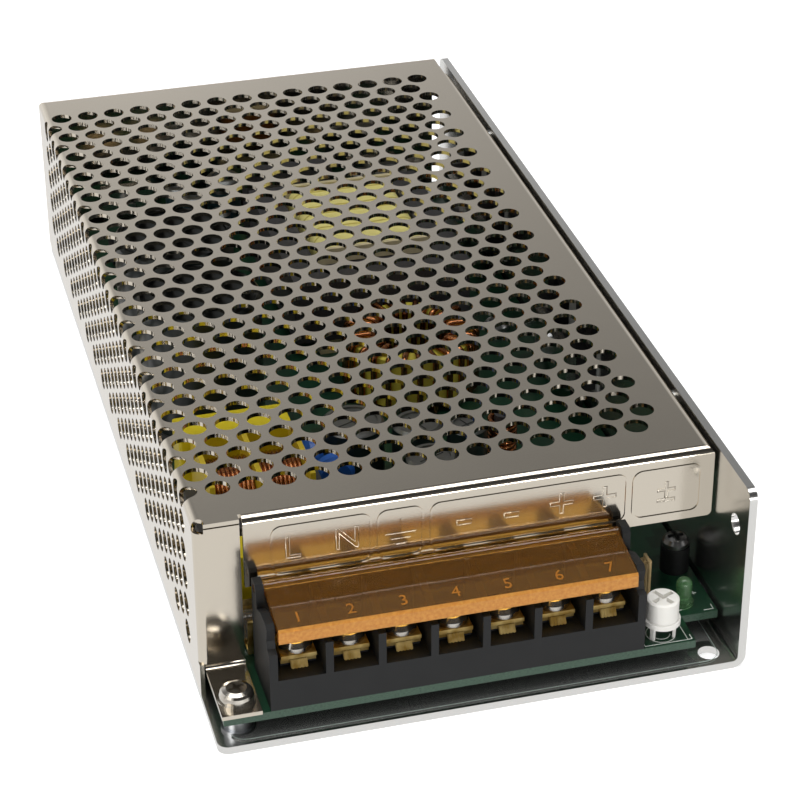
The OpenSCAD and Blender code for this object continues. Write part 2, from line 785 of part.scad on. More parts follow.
module vent_tools() {
  deep = cover_fold_r + 0.2;
  for (j = [0 : vent_rows - 1]) {
    odd = j % 2;
    y = y_back - vent_back - j * row_step;
    for (i = [odd : vent_cols - 1])
      translate([x_left + vent_left + (i - odd / 2) * vent_pitch, y, case_h - deep])
        cylinder(d = vent_d, h = deep + cut);
    for (k = [0 : vent_side_rows - 1])
      translate([x_left - cut, y, case_h - vent_pitch - fold_allowance + vent_left
                 - (k + odd / 2) * vent_pitch])
        rotate([0, 90, 0]) cylinder(d = vent_d, h = cover_t + 2 * cut);
    // holes that fall on the side fold
    if (odd == 1)
      translate([x_left + 0.2, y, case_h]) rotate([0, -45, 0]) translate([0, 0, -vent_d])
        cylinder(d = vent_fold_d, h = 2 * vent_d);
  }
}

// Corner panel, bent from the side wall, and the foot bent from the panel
module corner_panel() {
  r = cover_fold_r;
  t = cover_t;
  foot_z = board_top;
  panel_z = foot_z + r;
  panel_top = case_h - t - seam;
  // side wall and vertical fold
  translate([0, 0, panel_z]) linear_extrude(panel_top - panel_z) {
    translate([x_left + r, cover_front + r]) rotate(180) fold_quarter(r, t);
    translate([x_left + r, cover_front]) square([panel_x - x_left - r, t]);
  }
  // side wall below the panel
  translate([x_left, cover_front, tray_t]) cube([t, r, panel_z - tray_t]);
  // bottom fold and foot
  foot_x = panel_x - foot_w;
  difference() {
    across(foot_x, foot_w) {
      translate([cover_front + t - r, foot_z + r]) rotate(-90) fold_quarter(r, t);
      translate([cover_front - foot_l, foot_z]) square([foot_l + t - r, t]);
    }
    translate([foot_screw_x, foot_screw_y, 0]) cylinder(d = board_hole_d, h = case_h);
  }
}

module cover_top_end() {
  // flat front end of the roof beside the lip, with the side fold run through
  r = cover_fold_r;
  t = cover_t;
  along(cover_front, r) {
    translate([x_left + r, case_h - r]) rotate(90) fold_quarter(r, t);
    translate([x_left + r, case_h - t]) square([panel_x - x_left - r, t]);
  }
}

module stamped_frame(x, w) {
  middle = lip_z + frame_up + frame_h / 2;
  along(cover_front - frame_rise, frame_rise + cover_t / 2) translate([x + w / 2, middle]) difference() {
    rounded_square(w, frame_h, frame_r);
    rounded_square(w - 2 * frame_line, frame_h - 2 * frame_line, frame_r - frame_line);
  }
}

module cover_cuts() {
  r = cover_fold_r;
  front = cover_front - cut;
  lip_r = 1;
  // everything below the lip, and the slit beside it
  translate([panel_x, front, -cut]) cube([case_w, cut + r, lip_z + cut]);
  translate([panel_x, front, -cut]) cube([lip_slit, cut + r, case_h + 2 * cut]);
  translate([x_left - cut, front, -cut]) cube([cut + panel_x - x_left, cut + r, case_h + 2 * cut]);
  // lip's lower right corner
  translate([cover_right - lip_r, front, lip_z + lip_r]) rotate([-90, 0, 0])
    corner_tool(lip_r, cut + r);
  // right-hand flange: short, with a slit behind the lip and none at the back
  translate([cover_right - r, cover_front + r, -cut])
    cube([r + cut, case_l, case_h - flange_h + cut]);
  translate([cover_right - r, cover_front + cover_t, -cut])
    cube([r + cut, seam + 0.5, case_h - r + cut]);
  translate([cover_right - flange_step, y_back - flange_back, -cut])
    cube([flange_step + cut, flange_back + cut, case_h + 2 * cut]);
  // seam at the left rear corner
  translate([x_left + cover_t, y_back - r, -cut]) cube([seam, r + cut, case_h - r + cut]);
}

module cover() {
  color(nickel) difference() {
    union() {
      difference() {
        cover_block(0);
        cover_block(cover_t);
        cover_cuts();
      }
      cover_top_end();
      corner_panel();
      stamped_frame(lip_x + frame_a, frame_a_w);
      stamped_frame(lip_x + frame_b, frame_b_w);
      stamped_frame(lip_x + frame_c, frame_c_w);
      stamped_frame(cover_right - frame_d - frame_d_w, frame_d_w);
    }
    vent_tools();
    translate([x_left + cover_t, cover_front + cover_t, case_h - cover_fold_r - seam])
      cylinder(d = corner_relief_d, h = cover_fold_r + seam + cut);
    cover_screw_places() flat_screw_hole(cover_screw_d, cover_head_d, cover_screw_l);
  }
}

module cover_screw_places() {
  for (s = [-1, 1])
    translate([s * rear_tab_x, y_back, rear_screw_z]) rotate([-90, 0, 0]) children();
  for (s = [-1, 1])
    translate([x_right, s * side_screw_y, case_h - side_screw_down]) rotate([0, 90, 0]) children();
}

module cover_screws() {
  color(zinc) cover_screw_places() flat_screw(cover_screw_d, cover_head_d, cover_screw_l - 0.5);
}

// ---- board ---------------------------------------------------------------

module board_corner_fixings() {
  rear_x = 4.2;
  rear_y = 6;
  translate([board_left + rear_x, board_back - rear_y, 0]) children();
  translate([board_right - rear_x, board_back - rear_y, 0]) children();
  translate([board_left + rear_x, trafo_y + 4, 0]) children();
  translate([board_right - rear_x - 4, ring_y + ring_d / 2 + 4, 0]) children();
}

module board_fixings() {
  board_corner_fixings() children();
  translate([foot_screw_x, foot_screw_y, 0]) children();
  translate([bush_x, bush_y, 0]) children();
}

module insulation_sheet() {
  edge = 1;
  corner = 3;
  hole_r = 4;
  back = y_back - cover_t - tray_t - edge;
  color([0.75, 0.78, 0.76]) translate([0, 0, tray_t]) linear_extrude(film_t) difference() {
    translate([(x_left + wall_in) / 2, (y_front + edge + back) / 2])
      rounded_square(wall_in - x_left - 2 * tray_fold_r, back - y_front - edge, corner);
    translate([x_right - corner_hole_in, y_front + corner_hole_front]) circle(hole_r);
    board_fixings() circle(d = standoff_foot_d + 0.6);
  }
}

module circuit_board() {
  color(board_green) translate([0, 0, board_z]) linear_extrude(board_t) difference() {
    translate([board_left, board_front]) square([board_right - board_left, board_back - board_front]);
    translate([trimmer_x + notch_gap, board_front - cut]) square([case_w, notch_l + cut]);
    board_fixings() circle(d = board_hole_d);
  }
}

module standoffs() {
  color(zinc) board_fixings() difference() {
    union() {
      cylinder(d = standoff_rivet_d, h = tray_t);
      translate([0, 0, tray_t]) cylinder(d = standoff_foot_d, h = standoff_ring_h);
      translate([0, 0, tray_t]) cylinder(d = standoff_d, h = standoff_h);
    }
    translate([0, 0, -cut]) cylinder(d = board_screw_bore, h = board_z + 2 * cut);
  }
}

module foot_screw() {
  washer_t = 0.5;
  top = board_top + cover_t;
  color(nickel) translate([foot_screw_x, foot_screw_y, 0]) {
    translate([0, 0, board_screw_end]) cylinder(d = board_screw_d, h = top - board_screw_end);
    translate([0, 0, top]) cylinder(d = foot_washer_d, h = washer_t);
    translate([0, 0, top + washer_t]) pan_head(foot_head_d, foot_head_h, 1, foot_head_d * 0.62);
  }
}

module board_screws() {
  color(zinc) board_corner_fixings() {
    translate([0, 0, board_screw_end]) cylinder(d = board_screw_d, h = board_top - board_screw_end);
    translate([0, 0, board_top]) pan_head(pan_d, pan_h, 0.9, pan_d * 0.6);
  }
}

module raised_screw_bush() {
  color(black_plastic) translate([bush_x, bush_y, board_top]) difference() {
    cylinder(d = bush_d, h = bush_h);
    translate([0, 0, -cut]) cylinder(d = board_screw_bore, h = bush_h + 2 * cut);
  }
}

module raised_screw() {
  top = board_top + bush_h;
  color(nickel) translate([bush_x, bush_y, 0]) {
    translate([0, 0, board_screw_end]) cylinder(d = board_screw_d, h = top - board_screw_end);
    translate([0, 0, top]) pan_head(pan_d - 0.5, pan_h, 0.9, pan_d * 0.55);
  }
}

// ---- terminal block --------------------------------------------------------

module each_way(first, last) {
  for (i = [first : last])
    translate([way_first + i * way_pitch, 0, 0]) children();
}

module end_profile() {
  // stepped side of the block: high at the hinge, a dip, then a nose
  b = block_back;
  f = block_front;
  polygon([[b, board_top], [b, end_z - 0.6], [b - 0.6, end_z], [b - 3, end_z], [b - 3.7, end_z - 0.8],
           [b - 3.9, end_z - 4.5], [b - 6.9, end_z - 3.2], [f + 2.3, end_z - 2.8], [f + 1.4, end_z - 3.6],
           [f + 1.9, end_z - 6.1], [f + 1.5, end_z - 7.6], [f, end_z - 8], [f, board_top]]);
}

module divider_profile() {
  b = block_back - rear_wall / 2;
  f = block_front;
  low = board_top + divider_front_h;
  polygon([[b, floor_z - 1], [b, wall_z], [b - 2.8, wall_z], [f + divider_front_l, wall_z - 2],
           [f + divider_front_l, low], [f, low], [f, floor_z - 1]]);
}

module terminal_block() {
  pocket_d = term_screw_d + 0.7;
  pocket_l = 6;
  step_back = 0.3;
  color(black_plastic) difference() {
    union() {
      translate([block_left, block_front, board_top]) cube([block_w, block_l, floor_h]);
      translate([block_left, block_back - rear_wall, board_top]) cube([block_w, rear_wall, wall_h]);
      across(block_left, end_wall) end_profile();
      across(block_right - end_wall, end_wall) end_profile();
      each_way(0, ways - 2) across(way_pitch / 2 - divider_t / 2, divider_t) divider_profile();
      each_way(0, ways - 1)
        translate([-plate_w / 2, plate_front + step_back, board_top])
          cube([plate_w, block_back - rear_wall / 2 - plate_front - step_back, floor_h + plate_step]);
    }
    each_way(0, ways - 1)
      translate([0, term_y, plate_z - pocket_l]) cylinder(d = pocket_d, h = pocket_l + cut);
    // bearings for the flap's pins
    translate([block_left - cut, hinge_y, hinge_z]) rotate([0, 90, 0])
      cylinder(d = flap_pin_d + 2 * flap_pin_gap, h = block_w + 2 * cut);
  }
}

module tongue_profile() {
  top = plate_top;
  foot = floor_z + 0.1;
  f = plate_front;
  polygon([[f + 0.5, plate_z], [f + 0.5, top], [f - 0.3, top], [f - tongue_reach, foot],
           [f - tongue_reach + plate_t, foot], [f + 0.1, plate_z]]);
}

module terminal_plates() {
  back = block_back - rear_wall - 0.2;
  teeth = 5;
  tooth = tongue_w / teeth;
  tooth_rise = 0.15;
  color(brass) each_way(0, ways - 1) difference() {
    union() {
      translate([-plate_w / 2, plate_front, plate_z]) cube([plate_w, back - plate_front, plate_t]);
      across(-tongue_w / 2, tongue_w) tongue_profile();
      // serration of the tongue
      for (k = [0 : teeth - 1])
        across(-tongue_w / 2 + (k + 0.25) * tooth, tooth / 2) translate([-tooth_rise, 0]) tongue_profile();
    }
    translate([0, term_y, plate_z - cut]) cylinder(d = term_screw_d + 0.1, h = plate_t + 2 * cut);
  }
}

module clamp() {
  color(nickel) translate([0, term_y, clamp_z]) difference() {
    translate([-clamp_w / 2, -clamp_w / 2, 0]) cube([clamp_w, clamp_w, clamp_t]);
    translate([0, 0, -cut]) cylinder(d = term_screw_d + 0.16, h = clamp_t + 2 * cut);
  }
}

module terminal_screw() {
  color(nickel) translate([0, term_y, head_z]) {
    translate([0, 0, -term_screw_l]) cylinder(d = term_screw_d, h = term_screw_l);
    pan_head(term_head_d, term_head_h, 1, term_head_d * 0.6);
  }
}

module clamp_1() { each_way(0, 0) clamp(); }
module clamp_2() { each_way(1, 1) clamp(); }
module clamp_3() { each_way(2, 2) clamp(); }
module clamp_4() { each_way(3, 3) clamp(); }
module clamp_5() { each_way(4, 4) clamp(); }
module clamp_6() { each_way(5, 5) clamp(); }
module clamp_7() { each_way(6, 6) clamp(); }
module terminal_screw_1() { each_way(0, 0) terminal_screw(); }
module terminal_screw_2() { each_way(1, 1) terminal_screw(); }
module terminal_screw_3() { each_way(2, 2) terminal_screw(); }
module terminal_screw_4() { each_way(3, 3) terminal_screw(); }
module terminal_screw_5() { each_way(4, 4) terminal_screw(); }
module terminal_screw_6() { each_way(5, 5) terminal_screw(); }
module terminal_screw_7() { each_way(6, 6) terminal_screw(); }

// ---- flap, adjuster and lamp ------------------------------------------------

module flap_profile() {
  // plate with a ridge over the hinge and a lip hanging at the front
  f = block_front;
  back = hinge_y - 0.2;
  top_front = flap_top - flap_drop;
  rise = flap_t / cos(flap_slope);
  slope_back = (back - hinge_y) * tan(flap_slope);
  translate([hinge_y, hinge_z]) circle(flap_ridge_r);
  polygon([[back, flap_top + slope_back - rise], [back, flap_top + slope_back], [f + 0.4, top_front + 0.1],
           [f, top_front - 0.4], [f, top_front - flap_lip_h + 0.3], [f + 0.3, top_front - flap_lip_h],
           [f + 1, top_front - flap_lip_h], [f + 1.2, top_front - rise + 0.3]]);
}

module flap() {
  pin_l = end_wall - 0.1;
  color(amber) {
    across(flap_left, flap_right - flap_left) flap_profile();
    translate([flap_left - flap_side_gap - pin_l, hinge_y, hinge_z]) rotate([0, 90, 0])
      cylinder(d = flap_pin_d, h = flap_right - flap_left + 2 * (flap_side_gap + pin_l));
  }
}

module adjuster_base() {
  leg_w = 0.9;
  leg_t = 0.5;
  spread = 2.4;
  color(white_plastic) translate([trimmer_x, trimmer_y, 0]) {
    translate([0, 0, trimmer_z]) cylinder(d = trimmer_base_d, h = trimmer_base_t);
    translate([0, 0, trimmer_z]) cylinder(d = shaft_d, h = trimmer_base_t + knob_h - 1.4);
    for (a = [90, 210, 330])
      rotate(a) translate([spread, 0, board_top]) translate([-leg_t / 2, -leg_w / 2, 0])
        cube([leg_t, leg_w, trimmer_leg_h + 0.1]);
  }
}

module adjuster_knob() {
  chamfer = 0.3;
  color(white_plastic) translate([trimmer_x, trimmer_y, knob_z]) difference() {
    rotate_extrude() polygon([[0, 0], [knob_d / 2, 0], [knob_d / 2, knob_h - chamfer],
                              [knob_d / 2 - chamfer, knob_h], [0, knob_h]]);
    translate([0, 0, -cut]) cylinder(d = shaft_d + 2 * shaft_gap, h = knob_h - 1.3 + cut);
    for (a = [0, 90])
      rotate(a + 25) translate([-knob_d * 0.4, -knob_slot / 2, knob_h - 0.9])
        cube([knob_d * 0.8, knob_slot, 1 + cut]);
  }
}

module pilot_lamp() {
  r = lamp_d / 2;
  color(lamp_green) translate([lamp_x, cover_front - lamp_out, board_top]) {
    cylinder(d = lamp_d + 0.8, h = 1);
    cylinder(d = lamp_d, h = lamp_h - r);
    intersection() {
      translate([0, 0, lamp_h - r]) sphere(r);
      translate([-r, -r, lamp_h - r]) cube([2 * r, 2 * r, r]);
    }
  }
}

// ---- mains side ---------------------------------------------------------------

module bulk_capacitors() {
  color(sleeve_dark)
    for (i = [0, 1])
      translate([mains_x, bulk_y - i * bulk_pitch, board_top]) can(bulk_d, bulk_h);
}

module film_box(l, t, h) {
  linear_extrude(h) rounded_square(l, t, 0.8);
}

module film_capacitors() {
  color([0.90, 0.80, 0.10]) {
    translate([mains_x - film_side, film_cap_y, board_top]) film_box(film_cap_l, film_cap_t, film_cap_h);
    translate([mains_x + film_side, small_film_y, board_top])
      film_box(small_film_l, small_film_t, small_film_h);
  }
}

module choke_at() {
  translate([mains_x, choke_y, board_top + choke_h - choke_flange / 2]) children();
}

module choke_bobbin() {
  t = 1;
  gap = 0.1;
  tube = choke_leg + 2 * (gap + t);
  below = choke_h - choke_flange / 2;
  color([0.86, 0.76, 0.20]) choke_at() difference() {
    union() {
      translate([-choke_l / 2, -tube / 2, -tube / 2]) cube([choke_l, tube, tube]);
      for (s = [-1, 0, 1])
        translate([s * (choke_l / 2 - t / 2) - t / 2, -choke_flange / 2, -below])
          cube([t, choke_flange, choke_h]);
    }
    translate([-choke_l, -choke_leg / 2 - gap, -choke_leg / 2 - gap])
      cube([2 * choke_l, choke_leg + 2 * gap, choke_leg + 2 * gap]);
  }
}

module choke_core() {
  gap = 0.2;
  yoke = 2.8;
  outer_leg = 3.8;
  l = choke_l + 2 * (gap + yoke);
  front = choke_flange / 2 + gap + outer_leg;
  color(ferrite) choke_at() translate([0, 0, -choke_leg / 2]) linear_extrude(choke_leg) difference() {
    translate([-l / 2, -front]) square([l, front + choke_leg / 2]);
    translate([-choke_l / 2 - gap, -front + outer_leg])
      square([choke_l + 2 * gap, front - outer_leg - choke_leg / 2]);
  }
}

module choke_coils() {
  gap = 0.1;
  tube = choke_leg + 2.2 + 2 * gap;
  l = (choke_l - 3) / 2 - 2 * gap;
  color(copper) choke_at()
    for (s = [-1, 1])
      translate([s * (choke_l / 4 - 0.25) - l / 2, 0, 0]) difference() {
        rotate([0, 90, 0]) cylinder(d = choke_coil_d, h = l);
        translate([-cut, -tube / 2, -tube / 2]) cube([l + 2 * cut, tube, tube]);
      }
}

module fuse() {
  cap_l = 5;
  cap_more = 0.3;
  color([0.85, 0.88, 0.88]) translate([mains_x + film_side, fuse_y, board_top + fuse_z]) rotate([0, 90, 0]) {
    translate([0, 0, -fuse_l / 2]) cylinder(d = fuse_d, h = fuse_l);
    for (s = [-1, 1])
      translate([0, 0, s * (fuse_l - cap_l) / 2 - cap_l / 2]) cylinder(d = fuse_d + cap_more, h = cap_l);
  }
}

module fuse_clips() {
  t = 0.5;
  w = 4;
  half = fuse_d / 2 + 0.15 + 0.05;
  top = fuse_z + fuse_d * 0.42;
  color(brass) translate([mains_x + film_side, fuse_y, board_top])
    for (s = [-1, 1])
      across(s * (fuse_l / 2 - 2.5) - w / 2, w) {
        translate([-half - t, 0]) square([2 * (half + t), t]);
        for (m = [0, 1])
          mirror([m, 0]) {
            translate([half, 0]) square([t, top]);
            translate([half, top]) rotate(-30) square([t, 1.2]);
          }
      }
}

module thermistor() {
  color([0.16, 0.30, 0.20]) translate([mains_x + ntc_side, fuse_y + ntc_step, board_top])
    disc_part(ntc_d, disc_t, ntc_up);
}

module disc_capacitors() {
  color(disc_blue) translate([mains_x + disc_side, film_cap_y - disc_ahead, board_top]) {
    disc_part(disc_d, disc_t, disc_up);
    translate([disc_step_x, -disc_step_y, 0]) rotate(90) disc_part(disc_d, disc_t, disc_up);
  }
}

module bridge_rectifier() {
  w = bridge_w;
  h = bridge_h;
  bevel = 3;
  leg_pitch = w / 4;
  color(black_plastic) translate([mains_x + bridge_side, fuse_y + bridge_step, board_top]) {
    translate([0, bridge_t, bridge_up]) rotate([90, 0, 0]) linear_extrude(bridge_t)
      polygon([[-w / 2, 0], [w / 2, 0], [w / 2, h], [-w / 2 + bevel, h], [-w / 2, h - bevel]]);
    for (i = [-1.5 : 1 : 1.5])
      translate([i * leg_pitch - 0.5, bridge_t / 2 - 0.3, 0]) cube([1, 0.6, bridge_up + 1]);
  }
}

// ---- transformers ---------------------------------------------------------------

module trafo_at() {
  translate([trafo_x, trafo_y, board_top + trafo_z]) children();
}

module transformer_core() {
  window_w = (trafo_w - 2 * trafo_leg - trafo_mid) / 2;
  window_l = trafo_l - 2 * trafo_leg;
  color(ferrite) trafo_at() translate([0, 0, -trafo_core_t / 2]) linear_extrude(trafo_core_t) difference() {
    rounded_square(trafo_w, trafo_l, 0.6);
    for (s = [-1, 1])
      translate([s * (trafo_mid + window_w) / 2, 0]) square([window_w, window_l], center = true);
  }
}

// Square tube lying along Y, centred on the origin
module square_tube(w, h, hole_w, hole_h, l, r) {
  translate([0, l / 2, 0]) rotate([90, 0, 0]) linear_extrude(l) difference() {
    rounded_square(w, h, r);
    square([hole_w, hole_h], center = true);
  }
}

module transformer_bobbin() {
  gap = 0.2;
  wall = 1;
  window_l = trafo_l - 2 * trafo_leg;
  hole_w = trafo_mid + 2 * gap;
  hole_h = trafo_core_t + 2 * gap;
  flange_h = 2 * trafo_z;
  rail_h = trafo_z - trafo_core_t / 2 - gap;
  rail_w = coil_w + 4;
  color(cream) {
    trafo_at() {
      square_tube(hole_w + 2 * wall, hole_h + 2 * wall, hole_w, hole_h, window_l - 2 * gap, 0.5);
      for (s = [-1, 1])
        translate([0, s * (window_l / 2 - gap - wall / 2), 0])
          square_tube(coil_w + 0.8, flange_h, hole_w, hole_h, wall, 0.5);
    }
    for (s = [-1, 1])
      translate([trafo_x - rail_w / 2, trafo_y + s * (trafo_l / 2 - trafo_leg / 2 - 0.5) - trafo_leg / 2, board_top])
        cube([rail_w, trafo_leg, rail_h]);
  }
}

module transformer_coil() {
  gap = 0.1;
  tube_w = trafo_mid + 2.4 + 2 * gap;
  tube_h = trafo_core_t + 2.4 + 2 * gap;
  l = trafo_l - 2 * trafo_leg - 3;
  color(tape_yellow) trafo_at() square_tube(coil_w, coil_h, tube_w, tube_h, l, 3);
}

module driver_at() {
  translate([driver_x, driver_y, board_top + driver_base_h]) children();
}

module driver_core() {
  t = driver_core_t;
  leg = driver_leg;
  window = (driver_w - 2 * leg - driver_mid) / 2;
  color(ferrite) driver_at() translate([0, 0, 0.2]) along(-t / 2, t) difference() {
    translate([-driver_w / 2, 0]) square([driver_w, driver_h]);
    for (s = [-1, 1])
      translate([s * (driver_mid + window) / 2 - window / 2, leg]) square([window, driver_h - 2 * leg]);
  }
}

module driver_bobbin() {
  gap = 0.2;
  wall = 0.8;
  leg = driver_leg;
  coil_l = driver_coil_l;
  low = leg + 0.2 + gap;
  high = driver_h - 2 * leg - 2 * gap;
  out_w = driver_mid + 2 * (gap + wall);
  out_l = driver_core_t + 2 * (gap + wall);
  color(cream) {
    driver_at() difference() {
      union() {
        translate([-out_w / 2, -out_l / 2, low]) cube([out_w, out_l, high]);
        for (z = [low, low + high - wall])
          translate([-driver_w / 2 + leg + gap, -coil_l / 2, z])
            cube([driver_w - 2 * (leg + gap), coil_l, wall]);
      }
      translate([-driver_mid / 2 - gap, -driver_core_t / 2 - gap, 0])
        cube([driver_mid + 2 * gap, driver_core_t + 2 * gap, driver_h]);
    }
    translate([driver_x - driver_w / 2 + 2, driver_y - coil_l / 2, board_top])
      cube([driver_w - 4, coil_l, driver_base_h]);
  }
}

module driver_coil() {
  gap = 0.1;
  wall = 0.8;
  leg = driver_leg;
  proud = 0.4;
  inner_w = driver_mid + 2 * (0.2 + wall + gap);
  inner_l = driver_core_t + 2 * (0.2 + wall + gap);
  low = leg + 0.4 + wall + gap;
  high = driver_h - 2 * leg - 0.4 - 2 * (wall + gap);
  color([0.75, 0.45, 0.12]) driver_at() translate([0, 0, low]) linear_extrude(high) difference() {
    rounded_square(driver_w - 2 * leg - 2 * proud, driver_coil_l + proud, 1.5);
    square([inner_w, inner_l], center = true);
  }
}

module control_chip() {
  l = chip_l;
  w = chip_w;
  h = chip_h;
  up = 1;
  pin_pitch = 2.54;
  reach = 0.8;
  color(black_plastic) translate([chip_x, driver_y - 0.5, board_top]) {
    difference() {
      translate([-l / 2, -w / 2, up]) cube([l, w, h]);
      translate([-l / 2, 0, up + h - 0.5]) cylinder(d = 1.6, h = 1);
    }
    for (s = [-1, 1])
      for (i = [-3.5 : 1 : 3.5])
        translate([i * pin_pitch, s * (w / 2 + reach / 2), 0]) {
          translate([-0.7, -reach / 2, up + h / 2 - 0.2]) cube([1.4, reach, 0.4]);
          translate([-0.25, s * (reach / 2 - 0.15) - 0.15, 0]) cube([0.5, 0.3, up + h / 2]);
        }
  }
}

// ---- output side ------------------------------------------------------------------

module output_choke_core() {
  gap = 0.1;
  inner = ring_hole_d / 2 + wire_d + gap;
  outer = ring_d / 2 - wire_d - gap;
  color([0.85, 0.80, 0.30]) translate([ring_x, ring_y, board_top + wire_d + gap])
    linear_extrude(ring_h - 2 * (wire_d + gap)) difference() {
      circle(outer);
      circle(inner);
    }
}

module output_choke_coil() {
  inner = ring_hole_d / 2;
  w = ring_d / 2 - inner;
  color(copper) translate([ring_x, ring_y, board_top + ring_h / 2])
    for (i = [0 : ring_turns - 1])
      rotate(i * 360 / ring_turns) translate([inner + w / 2, wire_d / 2, 0]) rotate([90, 0, 0])
        linear_extrude(wire_d) difference() {
          rounded_square(w, ring_h, wire_d);
          square([w - 2 * wire_d, ring_h - 2 * wire_d], center = true);
        }
}

module output_capacitors() {
  color(sleeve_dark) translate([0, 0, board_top]) {
    second_x = out_cap_x + out_cap_step;
    second_y = out_cap_y - out_cap_stagger;
    translate([out_cap_x, out_cap_y, 0]) can(out_cap_d, out_cap_h);
    translate([second_x, second_y, 0]) can(out_cap_mid_d, out_cap_h);
    translate([second_x - 0.6, second_y - out_cap_front, 0]) can(out_cap_mid_d, out_cap_h);
    translate([out_small_x, second_y - 3, 0]) can(out_cap_small_d, out_cap_h);
  }
}

module rod_at() {
  translate([rod_x, film_cap_y - 3.2, board_top]) children();
}

module rod_choke_core() {
  color(ferrite) rod_at() cylinder(d = rod_core_d, h = out_cap_h);
}

module rod_choke_coil() {
  gap = 0.1;
  color(copper) rod_at() translate([0, 0, 0.2]) difference() {
    cylinder(d = rod_core_d + 2 * (gap + rod_coil_t), h = out_cap_h - 1);
    translate([0, 0, -cut]) cylinder(d = rod_core_d + 2 * gap, h = out_cap_h + 2 * cut);
  }
}

module device_pairs() {
  for (y = [transistor_y, rectifier_y])
    translate([wall_in, y, board_top]) children();
}

module power_devices() {
  tab_t = 1.3;
  body_h = 9.2;
  lead_w = 0.8;
  color(black_plastic) device_pairs()
    for (s = [-1, 1])
      translate([-pad_t, s * device_pitch / 2, device_up]) {
        difference() {
          translate([-tab_t, -device_w / 2, 0]) cube([tab_t, device_w, device_h]);
          translate([-tab_t - cut, 0, device_h - 2.8]) rotate([0, 90, 0])
            cylinder(d = 3.6, h = tab_t + 2 * cut);
        }
        translate([-device_t, -device_w / 2, 0]) cube([device_t, device_w, body_h]);
        for (k = [-1, 0, 1])
          translate([-device_t / 2 - 0.3, k * 2.54 - lead_w / 2, -device_up])
            cube([0.6, lead_w, device_up + 0.5]);
      }
}

module device_pads() {
  l = device_pitch + device_w + 2;
  low = 4;
  color([0.80, 0.80, 0.78]) device_pairs() difference() {
    translate([-pad_t, -l / 2, low]) cube([pad_t, l, device_up + device_h + 1 - low]);
    translate([-pad_t - cut, 0, bar_up]) rotate([0, 90, 0]) cylinder(d = 3.6, h = pad_t + 2 * cut);
  }
}

module bar_places() {
  device_pairs() translate([-pad_t - device_t, 0, bar_up]) rotate([0, 90, 0]) children();
}

module bar_screw_hole() {
  cylinder(d = 3.04, h = device_t + pad_t + tray_t + cut);
}

module device_bars() {
  w = 8;
  l = device_pitch + device_w;
  color(aluminium) bar_places() difference() {
    translate([-w / 2, -l / 2, -bar_t]) cube([w, l, bar_t]);
    translate([0, 0, -bar_t - cut]) cylinder(d = 3.2, h = bar_t + 2 * cut);
  }
}

module bar_screws() {
  reach = bar_t + device_t + pad_t + tray_t - 0.1;
  color(zinc) bar_places() translate([0, 0, -bar_t]) {
    cylinder(d = 3, h = reach);
    rotate([180, 0, 0]) pan_head(pan_d, pan_h, 0.9, pan_d * 0.6);
  }
}

module small_capacitors() {
  d = small_cap_d;
  h = small_cap_h;
  aux_x = driver_x - aux_cap_side;
  aux_y = driver_y + aux_cap_back;
  // one stands between the chip and the driver transformer
  between = (chip_x + chip_l / 2 + driver_x - driver_w / 2) / 2 - 0.6;
  color([0.20, 0.35, 0.38]) translate([0, 0, board_top]) {
    translate([aux_x, aux_y, 0]) can(aux_cap_d, aux_cap_h);
    translate([aux_x - small_cap_step - 2, aux_y - 4, 0]) can(d, h);
    translate([aux_x - small_cap_step - 5, aux_y + 2, 0]) can(d, h);
    translate([between, driver_y - d / 2, 0]) can(d, h);
    translate([driver_x + out_small_side, driver_y + out_small_back, 0]) can(d, h);
    translate([driver_x + out_small_side + out_small_step, driver_y + out_small_back, 0]) can(aux_cap_d, h);
    translate([trimmer_x - 6, cover_front + 12, 0]) can(d, h);
  }
}

// Axial resistor lying along X, its leads bent down to the board
module axial(d, l) {
  lead = 0.7;
  over = 2;
  up = d / 2 + 0.3;
  translate([-l / 2, 0, up]) rotate([0, 90, 0]) cylinder(d = d, h = l);
  translate([-l / 2 - over, 0, up]) rotate([0, 90, 0]) cylinder(d = lead, h = l + 2 * over);
  for (s = [-1, 1])
    translate([s * (l / 2 + over - lead / 2), 0, 0]) cylinder(d = lead, h = up);
}

module resistors() {
  d = res_d;
  l = res_l;
  lead = 0.7;
  bend = 2.5;
  stand = 1;
  loop_z = stand + l + 1.2;
  color([0.75, 0.66, 0.48]) translate([0, 0, board_top]) {
    for (i = [0 : 3])
      translate([res_x, driver_y - res_first - i * res_pitch, 0]) axial(d, l);
    for (i = [0 : 2])
      translate([res_x + res_column, driver_y - res_second - i * res_pitch, 0]) axial(d, l);
    for (i = [0 : 1])
      translate([driver_x + out_small_side + 2, driver_y - 1 - i * res_pitch, 0]) axial(d, l);
    for (i = [0 : 1])
      translate([mains_x + load_side, cover_front + load_in + i * load_pitch, 0]) axial(load_d, load_l);
    // one stands on end beside the adjuster
    translate([trimmer_x + 1.3, cover_front + 2.3, 0]) {
      translate([0, 0, stand]) cylinder(d = d, h = l);
      cylinder(d = lead, h = loop_z + 0.3);
      translate([0, 0, loop_z]) rotate([90, 0, 0]) cylinder(d = lead, h = bend);
      translate([0, -bend, 0]) cylinder(d = lead, h = loop_z + lead / 2);
    }
  }
}

// ---- what is drawn ----------------------------------------------------------------

